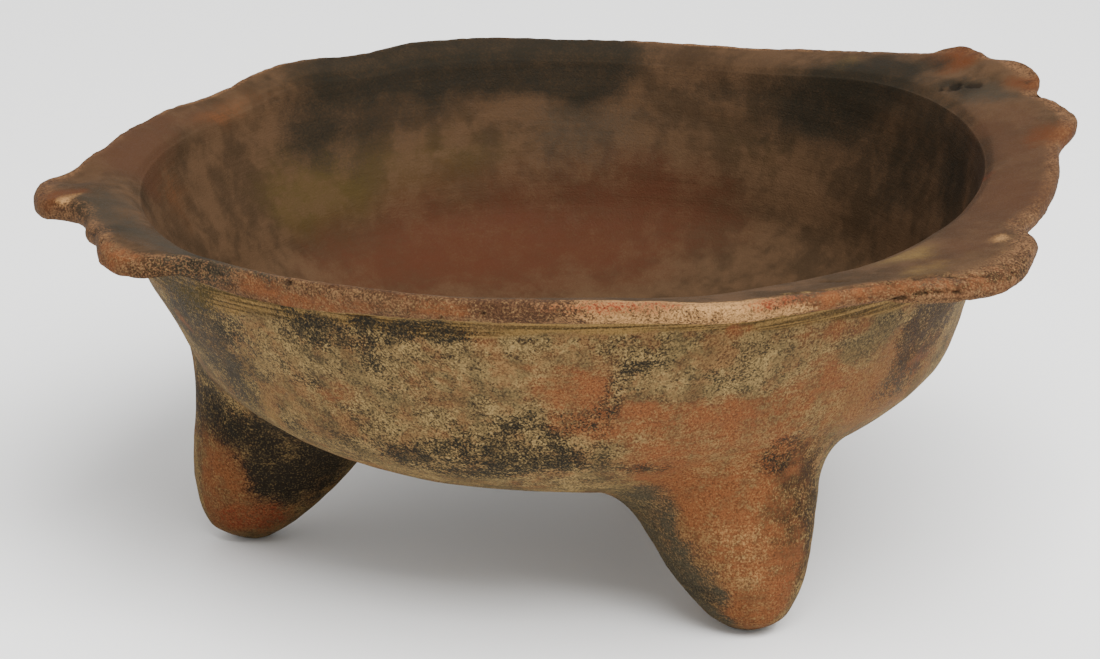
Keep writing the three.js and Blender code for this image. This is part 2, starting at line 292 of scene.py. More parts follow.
# %% Pull the rim into shape
FOLLOW_POWER = 1.5
UNDERSIDE, TURN, JOINT = 26.2, 49, 87
BASE_OFFSET = 3
# Where a finger pushed the lip: place, reach, and push in millimetres
PUSHES = [
    ((106.5, 52.5, 101.7), 5, (0.8, 0.8, 1.6)),
    ((103.5, 58, 101.8), 4, (0.7, 0.6, 1.2)),
    ((104.5, 61, 102.4), 3.5, (0.8, 0.2, 1.4)),
    ((111, 50, 102.5), 8, (0.2, 0.2, 0.5)),
    ((116, 38, 102.2), 5, (1.2, 0.2, 0.6)),
    ((115.5, 31, 101.4), 4, (1.2, 0, 0)),
    ((117, 25, 101.2), 6, (1, 0, 0.8)),
    ((122, 5, 100.5), 8, (1, 0, 0.4)),
    ((115, -28, 98.5), 14, (1, 0, 0)),
    ((100.5, 66, 102.2), 5, (0, 0.3, 1)),
    ((88, 71, 99), 10, (0, 0.2, 0.7)),
    ((104.5, -66, 94.5), 6, (2.6, -1.2, 0)),
    ((98, -93, 92), 8, (0.6, -0.4, -0.6)),
    ((-105, -46, 89.5), 5, (-1.8, -1.6, 0)),
    ((-106.5, -38, 88), 6, (-2.4, -1.6, -0.8)),
    ((-118, -22, 88.2), 5, (0, 0.5, 0.5)),
    ((-110, -31, 87.3), 4.5, (-0.8, -1.4, -1.2)),
    ((-93, -68, 87.5), 8, (-0.3, -0.3, -0.5)),
    ((-112, -3, 91), 7, (0, -1.5, -0.8)),
    ((-114.5, 0, 90.8), 6, (0.6, -1.8, -1.7)),
    ((-110, 12, 91), 8, (-1.2, 0.3, 0.3)),
    ((-93, 51, 91), 7, (-1, 0.6, 0.5)),
    ((-63, 85, 93), 16, (-0.2, 0.3, 0.7)),
    ((5, 106, 93.5), 30, (0, 0.2, 1)),
]


def points_of(obj):
    """The places of all points, in millimetres."""
    flat = np.empty(len(obj.data.vertices) * 3)
    obj.data.vertices.foreach_get("co", flat)
    return flat.reshape(-1, 3) / MM


def put_points(obj, places):
    """Moves all points to these places, in millimetres."""
    obj.data.vertices.foreach_set("co", (places * MM).ravel())
    obj.data.update()


def weights_of(obj, name):
    """Each point's weight in a vertex group, and 0 outside the group."""
    index = obj.vertex_groups[name].index
    weights = np.zeros(len(obj.data.vertices))
    for vertex in obj.data.vertices:
        for group in vertex.groups:
            if group.group == index:
                weights[vertex.index] = group.weight
    return weights


def around(rows, turns):
    """Reads a ring of numbers at any angle."""
    position = np.mod(turns / (2 * math.pi), 1) * len(rows)
    low = np.floor(position).astype(int)
    part = (position - low)[:, None]
    return rows[low % len(rows)] * (1 - part) + rows[(low + 1) % len(rows)] * part


def pull_rim(places, share, top):
    """Pulls the round rim out to the felt outline, each point by its share, and lifts it with it."""
    x, y, z = places.T
    radius, turn = np.hypot(x, y), np.arctan2(y, x)
    lip, lip_height = around(plain_lip, turn).T
    tip, tip_height = around(full_lip, turn).T
    follow = np.clip((z - FOLLOW_FROM) / (LIP_HEIGHT - FOLLOW_FROM), 0, 1) ** FOLLOW_POWER
    # Where the lip is narrow the wall below it stands further in
    squeeze = np.minimum(lip - JOINT_RADIUS - OVERHANG, 0) * follow
    new = radius + share * (tip - LIP_RADIUS) + (1 - share) * squeeze
    start = JOINT_RADIUS + (EDGE_RADIUS - JOINT_RADIUS) * top
    out = np.where(share > 0, np.clip((new - start) / (lip - start), 0, 1), 0)
    beyond = np.clip((new - lip) / np.maximum(tip - lip, 1), 0, 1) * (share > 0)
    lift = (lip_height - LIP_HEIGHT) * np.maximum(out, follow)
    lift = lift + PLAIN_RISE * (out - share) + (tip_height - lip_height) * beyond ** 2
    return np.stack([new * np.cos(turn), new * np.sin(turn), z + lift], 1)


def make_untrue(places):
    """Tilts the mouth, moves it off the middle, and leaves the base where it stands."""
    x, y, z = places.T
    tilt = np.clip((z - UNDERSIDE) / (JOINT - UNDERSIDE), 0, 1)
    offset = np.clip((JOINT - z) / (JOINT - TURN), 0, 1)
    x_moved = x + BASE_OFFSET * offset + MOUTH_MIDDLE[0]
    return np.stack([x_moved, y + MOUTH_MIDDLE[1], z + MOUTH_TILT * x * tilt], 1)


places = make_untrue(pull_rim(points_of(wall), weights_of(wall, "lip"), weights_of(wall, "top")))
for spot, reach, push in PUSHES:
    near = np.exp(-(np.linalg.norm(places - spot, axis=1) / reach) ** 2)
    places += near[:, None] * push
put_points(wall, places)
print("The wall now spans", (places.max(0) - places.min(0)).round(1), "mm")

# %% [markdown]
# ## The marks of the hand
# A coiled wall is never even. The hand leaves slow swells, the rubbing stone leaves long shallow
# strokes round the bowl, and the lip, which the stone hardly touched, stays rough. Noise of a real
# size moves each point in or out, so the marks are true shape and catch the light from any side.
# Only bump would do for the camera, but not for the outline or the exported mesh.

# %% Leave the marks of the hand
# Size and height in millimetres
SWELLS = [(45, 0.45), (18, 0.22), (7, 0.1)]
STROKE, STROKE_HEIGHT = (30, 30, 4), 0.14
LIP_GRIT = [(3.4, 0.16), (1.6, 0.12)]
WALL_SEED, STROKE_SEED, GRIT_SEED = 3, 5, 9
# All is set back by this much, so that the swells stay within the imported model
SINK = 0.35
LOW, HIGH = (np.array(corner) / MM for corner in (cad_low, cad_high))


def normals_of(obj):
    """The directions in which all points face."""
    flat = np.empty(len(obj.data.vertices) * 3)
    obj.data.vertices.foreach_get("normal", flat)
    return flat.reshape(-1, 3)


def swell(places, size, seed):
    """Smooth noise from -1 to 1 whose humps have this size in millimetres."""
    return np.array([noise.noise(place) for place in (places / size + seed).tolist()])


def work_by_hand(obj, seed, share=1.0, grit_share=0.0):
    """Moves the points in and out as an uneven hand leaves them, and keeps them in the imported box."""
    places = points_of(obj)
    rise = sum(height * swell(places, size, seed + i) for i, (size, height) in enumerate(SWELLS))
    rise += STROKE_HEIGHT * swell(places, np.array(STROKE), seed + STROKE_SEED) - SINK
    grit = sum(height * swell(places, size, seed + GRIT_SEED) for size, height in LIP_GRIT)
    moved = places + normals_of(obj) * (rise * share + grit * grit_share)[:, None]
    put_points(obj, np.clip(moved, LOW, HIGH))


lip_share = weights_of(wall, "lip")
work_by_hand(wall, WALL_SEED, 1.0, lip_share ** 2)
print("The wall is uneven by about", round(sum(h for _, h in SWELLS), 2), "mm")

# %% [markdown]
# ## Pits, cracks and chips
# Where the coil of the lip was folded over, the clay has parted in thin dark cracks that run along
# the edge, and grit has fallen out of it and left pits. Each is a groove along a line, deep in the
# middle and soft at its sides. A pit is a groove of no length. The pits are strewn along stretches
# of the lip with a fixed seed.

# %% Press the cracks and strew the pits
CRACKS = [
    # Points on the lip, half width and depth, all in millimetres
    ([(55.4, -88.8, 94.9), (62, -91.5, 95.3)], 0.6, 1),
    ([(47.3, -102.5, 95.1), (59.7, -99.3, 95.4), (65.5, -97.5, 95.5), (73.5, -96.8, 95.4),
      (79.3, -94.4, 95.6), (85, -93.1, 95.6), (88.6, -94.4, 95.4)], 0.5, 1.3),
    ([(69.9, -97.6, 90.9), (73.4, -98.9, 92.1), (78.9, -99.5, 93.4), (86.2, -97.9, 93.1)], 0.5, 0.8),
    ([(89.6, -92.6, 95.4), (92.9, -90.5, 95.4)], 0.6, 1),
    ([(89.8, -96.4, 92.4), (89.8, -96.4, 92.4)], 0.8, 1.1),
    ([(95.5, 46.5, 97.6), (98.4, 45.2, 98), (102.5, 44.4, 99.3)], 2.0, 1.1),
    ([(-115.4, -22.7, 90), (-111.9, -24.6, 89.6)], 1.5, 0.6),
    ([(115.8, 30.5, 101), (117.5, 27.5, 101)], 2.0, 0.9),
]
# Stretches of the lip as turns in degrees, how many pits, and their greatest half width
PIT_STRETCHES = [(207, 265, 130, 0.8), (265, 292, 30, 0.6), (292, 320, 80, 0.8), (0, 360, 80, 1.0)]
PIT_SEED = 11
PIT_DEPTH, PIT_NARROWEST = 0.5, 0.45
# Only points that follow the lip at least this much can be the middle of a pit
EDGE_SHARE = 0.8
# A groove is felt out to this many half widths, and its depth changes along it
GROOVE_REACH = 3
DEPTH_MIDDLE, DEPTH_SWING, DEPTH_LEAST, DEPTH_MOST = 0.55, 1.3, 0.05, 1.2
DEPTH_SIZE, DEPTH_SEED = 2.1, 4
# Stands for the length of a pit, which has none
TINY = 1e-9


def press(places, normals, start, end, width, depth):
    """Presses a groove of this half width and depth along a line."""
    start, along = np.array(start), np.subtract(end, start)
    part = np.clip((places - start) @ along / max(along @ along, TINY), 0, 1)
    away = np.linalg.norm(places - start - part[:, None] * along, axis=1)
    near = away < GROOVE_REACH * width
    uneven = DEPTH_MIDDLE + DEPTH_SWING * swell(places[near], DEPTH_SIZE, DEPTH_SEED)
    uneven = np.clip(uneven, DEPTH_LEAST, DEPTH_MOST)
    sunk = places.copy()
    sunk[near] -= normals[near] * (depth * uneven * np.exp(-(away[near] / width) ** 2))[:, None]
    return sunk


random = np.random.default_rng(PIT_SEED)
places, normals = points_of(wall), normals_of(wall)
for corners, width, depth in CRACKS:
    on_clay = [places[np.argmin(np.linalg.norm(places - corner, axis=1))] for corner in corners]
    for start, end in zip(on_clay, on_clay[1:]):
        places = press(places, normals, start, end, width, depth)
aside = places[:, :2] - MOUTH_MIDDLE
turns = np.degrees(np.arctan2(aside[:, 1], aside[:, 0])) % 360
for first, last, count, widest in PIT_STRETCHES:
    edge = np.flatnonzero((lip_share > EDGE_SHARE) & (turns >= first) & (turns < last))
    # The spin leaves the points in another order each time, and the seed needs the same order
    edge = edge[np.argsort(turns[edge])]
    for spot in random.choice(edge, count):
        width = random.uniform(PIT_NARROWEST, widest)
        places = press(places, normals, places[spot], places[spot], width, width * PIT_DEPTH)
sunk_depth = ((points_of(wall) - places) * normals).sum(axis=1)
lip_places = np.clip(places, LOW, HIGH)
put_points(wall, lip_places)
wall_normals = normals_of(wall)
print("Pressed", len(CRACKS), "cracks and", sum(s[2] for s in PIT_STRETCHES), "pits")

# %% [markdown]
# ## Parting the rim from the bowl
# The rim is a coil of its own, pressed on top of the wall. Both were shaped as one surface so that
# they meet without a step. Now the faces that belong to the rim are separated along a ring of the
# mesh, and each part is closed by a flat ring, bridged from its outer edge to its inner edge.

# %% Part the rim from the bowl
SHARP = math.radians(40)
RIM_HALF = 0.49


def separate(obj, name, chosen):
    """Takes the faces whose four points are all chosen off as a piece of their own."""
    corners = np.empty(len(obj.data.loops), int)
    obj.data.loops.foreach_get("vertex_index", corners)
    edit(obj, "DESELECT")
    leave()
    obj.data.polygons.foreach_set("select", chosen[corners.reshape(-1, 4)].all(axis=1))
    bpy.ops.object.mode_set(mode="EDIT")
    bpy.ops.mesh.select_mode(type="FACE")
    bpy.ops.mesh.separate(type="SELECTED")
    leave()
    piece = next(o for o in bpy.context.selected_objects if o is not obj)
    piece.name = name
    return piece


def close_ring(obj):
    """Bridges the two open edges of a piece."""
    edit(obj, "DESELECT")
    bpy.ops.mesh.select_non_manifold()
    bpy.ops.mesh.bridge_edge_loops()
    bpy.ops.mesh.select_all(action="SELECT")
    bpy.ops.mesh.normals_make_consistent(inside=False)
    leave()


def smooth(obj):
    """Shades a piece smooth but for its sharp edges."""
    only(obj)
    bpy.ops.object.shade_smooth_by_angle(angle=SHARP)


skin = BVHTree.FromObject(wall, bpy.context.evaluated_depsgraph_get())
rim = separate(wall, "clay_rim", weights_of(wall, "rim") > RIM_HALF)
wall.name = "clay_bowl"
for piece in (wall, rim):
    close_ring(piece)
    smooth(piece)
    print(piece.name, "has", sum(len(p.vertices) - 2 for p in piece.data.polygons), "triangles")

# %% [markdown]
# ## Cutting the lugs free
# The lugs, lobes and nubs were pinched from lumps that the potter pressed on to the lip. Each is cut
# from the rim by a plane that just touches the plain lip, so the two sides of the cut fit exactly.
# A boolean with a box does both: what they share is the lug, and what is left over is the rim.

# %% Cut the lugs from the rim
CUT_CLEAR = 0.4
CUT_MARGIN = 2
CUT_LENGTH, CUT_HEIGHT = 60, 60


def block(middle, turn, size):
    """A box in this place, turned about the upright, with this length, width and height."""
    bpy.ops.object.select_all(action="DESELECT")
    bpy.ops.mesh.primitive_cube_add(
        size=MM,
        location=[v * MM for v in middle],
        rotation=(0, 0, turn),
        scale=size,
    )
    bpy.ops.object.transform_apply(location=True, rotation=True, scale=True)
    return bpy.context.object


def cutter_for(name):
    """A box from the plain lip outwards, as wide as the lug."""
    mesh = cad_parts[name].data
    spots = np.array([v.co[:2] for v in mesh.vertices]) / MM - MOUTH_MIDDLE
    turn = math.atan2(*spots.mean(axis=0)[::-1])
    away = np.array([math.cos(turn), math.sin(turn)])
    across = np.array([-away[1], away[0]])
    side = spots @ across
    start = around(plain_lip, np.array([turn]))[0, 0] + CUT_CLEAR
    middle = MOUTH_MIDDLE + away * (start + CUT_LENGTH / 2) + (side.max() + side.min()) / 2 * across
    width = side.max() - side.min() + 2 * CUT_MARGIN
    return block((*middle, LIP_HEIGHT), turn, (CUT_LENGTH, width, CUT_HEIGHT))


def copy_of(obj, name):
    """A copy of a piece, with its own mesh."""
    only(obj)
    bpy.ops.object.duplicate()
    bpy.context.object.name = name
    return bpy.context.object


def discard(obj):
    """Removes a form that has done its work."""
    bpy.data.objects.remove(obj, do_unlink=True)


lugs = {}
for name in LUGS:
    cutter = cutter_for(name)
    lug = copy_of(rim, "clay_" + name)
    apply(lug, "BOOLEAN", operation="INTERSECT", object=cutter, solver="MANIFOLD")
    apply(rim, "BOOLEAN", operation="DIFFERENCE", object=cutter, solver="MANIFOLD")
    discard(cutter)
    smooth(lug)
    lugs[name] = lug
    print(lug.name, "has", len(lug.data.polygons), "faces")
smooth(rim)

# %% [markdown]
# ## The legs
# Each leg is a hollow cone of clay, wide where it was luted to the bowl and drawn down to a small
# tip, with its wall leaning in under the bowl. A ball of fine mesh is stretched over that form: its
# meridians run from the tip up to the skin of the bowl, then turn along it in a soft fillet, as wet
# clay does when it is smoothed over a join, and tuck in just under the skin. A cone with a boolean
# would leave a hard line there.

# %% The form of a leg
LEG_TURNS = {"leg_front": -56, "leg_left": -175.5, "leg_back": 64}
LEG_CIRCLE, LEG_HEIGHT, LEG_OUT, LEG_IN, LEG_SIDE = 74.6, 47, 14.7, 30.6, 0.89
LEG_WALL, TIP_CLAY = 5, 6
# Share of the height, and of the outward and inward width
LEG_SHARES = [(0, 0, 0), (0, 0.27, 0.12), (0.03, 0.51, 0.21), (0.07, 0.71, 0.31), (0.13, 0.84, 0.43),
              (0.26, 0.97, 0.64), (0.39, 1.01, 0.82), (0.52, 1.01, 1), (0.62, 0.98, 1.17),
              (0.8, 0.95, 1.4), (1.08, 0.98, 1.5), (1.3, 1, 1.55), (1.5, 1, 1.6)]
FILLET, FILLET_STEPS, BLEND_STEPS = 8, 13, 24
TUCK, HOLLOW_TUCK, FEATHER = 1.2, 2.6, 0.04
MERIDIANS, RINGS, CAP_RINGS = 192, 120, 10
# Points between two rows of the shares
ROUND = 24


def smooth_line(points, each):
    """Points of the smooth line through these points."""
    cage = cage_through(points)
    cage = np.vstack([2 * cage[0] - cage[1], cage, 2 * cage[-1] - cage[-2]])
    found = []
    for u in np.arange(each) / each:
        # The four weights of a smooth cubic line at a share u of the way between two of its knots
        weights = [(1 - u) ** 3, 3 * u ** 3 - 6 * u ** 2 + 4]
        weights = np.array([*weights, -3 * u ** 3 + 3 * u ** 2 + 3 * u + 1, u ** 3])
        found.append(sum(w * cage[i:len(cage) - 3 + i] for i, w in enumerate(weights / 6)))
    return np.stack(found, 1).reshape(-1, cage.shape[1])


def skin_height(spots):
    """Height of the bowl's underside above each spot, in millimetres."""
    up = Vector((0, 0, 1))
    found = [skin.ray_cast(Vector((x * MM, y * MM, -MM)), up)[0] for x, y in spots]
    return np.array([LIP_HEIGHT if place is None else place.z / MM for place in found])


def spaced(path, count):
    """The same path with this many points, evenly spaced."""
    far = np.append(0, np.linalg.norm(np.diff(path, axis=0), axis=1).cumsum())
    return np.stack([np.interp(np.linspace(0, far[-1], count), far, column) for column in path.T], 1)


def meridian(turn, longitude, tip, out, lean, rows, tuck, filleted):
    """One line of the leg from the tip's middle up to the skin, and under the skin to the axis."""
    # The line of the plain cone, on the side of this longitude
    height = tip + (LEG_HEIGHT - tip) * rows[:, 0]
    half = (out * rows[:, 1] + lean * rows[:, 2]) / 2
    middle = LEG_CIRCLE + (out * rows[:, 1] - lean * rows[:, 2]) / 2
    away = middle + half * math.cos(longitude)
    aside = LEG_SIDE * half * math.sin(longitude)
    cos, sin = math.cos(turn), math.sin(turn)
    line = np.stack([away * cos - aside * sin + MOUTH_MIDDLE[0], away * sin + aside * cos + MOUTH_MIDDLE[1],
                     np.maximum(height, tip)], 1)
    axis = np.stack([middle * cos + MOUTH_MIDDLE[0], middle * sin + MOUTH_MIDDLE[1]], 1)
    # Where it meets the skin of the bowl
    gap = skin_height(line[:, :2]) - line[:, 2]
    above = int(np.argmax(gap < 0))
    part = gap[above - 1] / (gap[above - 1] - gap[above])
    contact = line[above - 1] + part * (line[above] - line[above - 1])
    line = np.vstack([line[:above], contact])
    outward = contact[:2] - axis[above]
    outward /= np.linalg.norm(outward)
    end = contact
    if filleted:
        # A curve from a little below the contact to a little along the skin
        line = line[np.linalg.norm(line - contact, axis=1) > FILLET]
        steps = np.linspace(0, FILLET, FILLET_STEPS)
        spots = contact[:2] + steps[:, None] * outward
        along = np.column_stack([spots, skin_height(spots)])
        reach = np.maximum.accumulate(np.linalg.norm(along - contact, axis=1))
        end = np.array([np.interp(FILLET, reach, column) for column in along.T]) + (0, 0, FEATHER)
        u = np.linspace(0, 1, BLEND_STEPS)[:, None]
        line = np.vstack([line, (1 - u) ** 2 * line[-1] + 2 * u * (1 - u) * contact + u ** 2 * end])
    line = spaced(line, RINGS - CAP_RINGS)
    spots = end[:2] + np.linspace(0, 1, CAP_RINGS + 1)[:, None] * (axis[above] - end[:2])
    cap = np.column_stack([spots, skin_height(spots) + tuck])
    return np.vstack([line, cap])


def leg_form(name, turn, tip, out, lean, tuck, filleted):
    """A ball whose points are moved on to the meridians of the leg."""
    bpy.ops.object.select_all(action="DESELECT")
    bpy.ops.mesh.primitive_uv_sphere_add(segments=MERIDIANS, ring_count=RINGS, radius=1, location=(0, 0, 0))
    obj = bpy.context.object
    obj.name = name
    rows = smooth_line(LEG_SHARES, ROUND)
    rows[:, 0] = np.maximum.accumulate(rows[:, 0])
    rows = np.maximum(rows, 0)
    longitudes = np.arange(MERIDIANS) * 2 * math.pi / MERIDIANS
    lines = np.array([meridian(turn, lon, tip, out, lean, rows, tuck, filleted) for lon in longitudes])
    ball = points_of(obj) * MM
    ring = np.rint(np.arccos(np.clip(-ball[:, 2], -1, 1)) / math.pi * RINGS).astype(int)
    column = np.rint(np.arctan2(ball[:, 1], ball[:, 0]) / (2 * math.pi) * MERIDIANS).astype(int) % MERIDIANS
    places = lines[column, ring]
    for pole in (0, RINGS):
        places[ring == pole] = lines[:, pole].mean(axis=0)
    put_points(obj, places)
    edit(obj)
    bpy.ops.mesh.normals_make_consistent(inside=False)
    leave()
    return obj


# %% Stretch, hollow and vent the legs
VENT = (2.5, 13)
VENT_HEIGHT = 16
# The marks of the hand fade out this near to the bowl, and a leg has less grit than the lip
FADE = 9
LEG_SEED, LEG_GRIT = 20, 0.35

legs = {}
for name, degrees in LEG_TURNS.items():
    turn = math.radians(degrees)
    leg = leg_form("clay_" + name, turn, 0, LEG_OUT, LEG_IN, TUCK, True)
    spots = points_of(leg)
    free = np.clip((skin_height(spots[:, :2]) - spots[:, 2]) / FADE, 0, 1)
    work_by_hand(leg, LEG_SEED + degrees, free, LEG_GRIT * free)
    hollow = leg_form("hollow", turn, TIP_CLAY, LEG_OUT - LEG_WALL, LEG_IN - LEG_WALL, HOLLOW_TUCK, False)
    far = LEG_CIRCLE - LEG_IN / 2
    vent = (MOUTH_MIDDLE[0] + far * math.cos(turn), MOUTH_MIDDLE[1] + far * math.sin(turn), VENT_HEIGHT)
    slit = block(vent, turn, (LEG_IN, *VENT))
    for form in (hollow, slit):
        apply(leg, "BOOLEAN", operation="DIFFERENCE", object=form, solver="MANIFOLD")
        discard(form)
    smooth(leg)
    legs[name] = leg
    print(leg.name, "has", len(leg.data.polygons), "faces")

# %% [markdown]
# ## The pellets
# Balls of clay the size of a pea were rolled between the fingers and closed into each leg, where
# they rattle when the bowl is shaken. A rolled ball is never round, so an icosphere is swollen and
# dented by noise.

# %% Roll the pellets
PELLET_SHARE, PELLET_LEVELS = 0.97, 5
PELLET_DENTS, PELLET_SEED = [(5, 0.14), (2, 0.06)], 40
PELLETS = [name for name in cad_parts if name.startswith("pellet")]

pellets = {}
for i, name in enumerate(sorted(PELLETS)):
    low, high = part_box(name)
    bpy.ops.object.select_all(action="DESELECT")
    bpy.ops.mesh.primitive_ico_sphere_add(
        subdivisions=PELLET_LEVELS,
        radius=(high.z - low.z) / 2 * PELLET_SHARE,
        location=(low + high) / 2,
    )
    pellet = bpy.context.object
    bpy.ops.object.transform_apply(location=True, rotation=True, scale=True)
    pellet.name = "clay_" + name
    places = points_of(pellet)
    dents = sum(height * swell(places, size, PELLET_SEED + i) for size, height in PELLET_DENTS)
    dented = places + normals_of(pellet) * dents[:, None]
    put_points(pellet, np.clip(dented, np.array(low) / MM, np.array(high) / MM))
    smooth(pellet)
    pellets[name] = pellet
print("Rolled", len(pellets), "pellets")

# %% [markdown]
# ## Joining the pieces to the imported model
# Every piece rides on the body that carries its solid and hides that solid.

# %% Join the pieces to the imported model
fired = {"bowl_body": wall, "rim_coil": rim, **lugs, **legs}
for node, piece in fired.items():
    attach(piece, "vessel")
    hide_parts(node)
for node, pellet in pellets.items():
    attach(pellet, node + "_body")
    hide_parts(node)
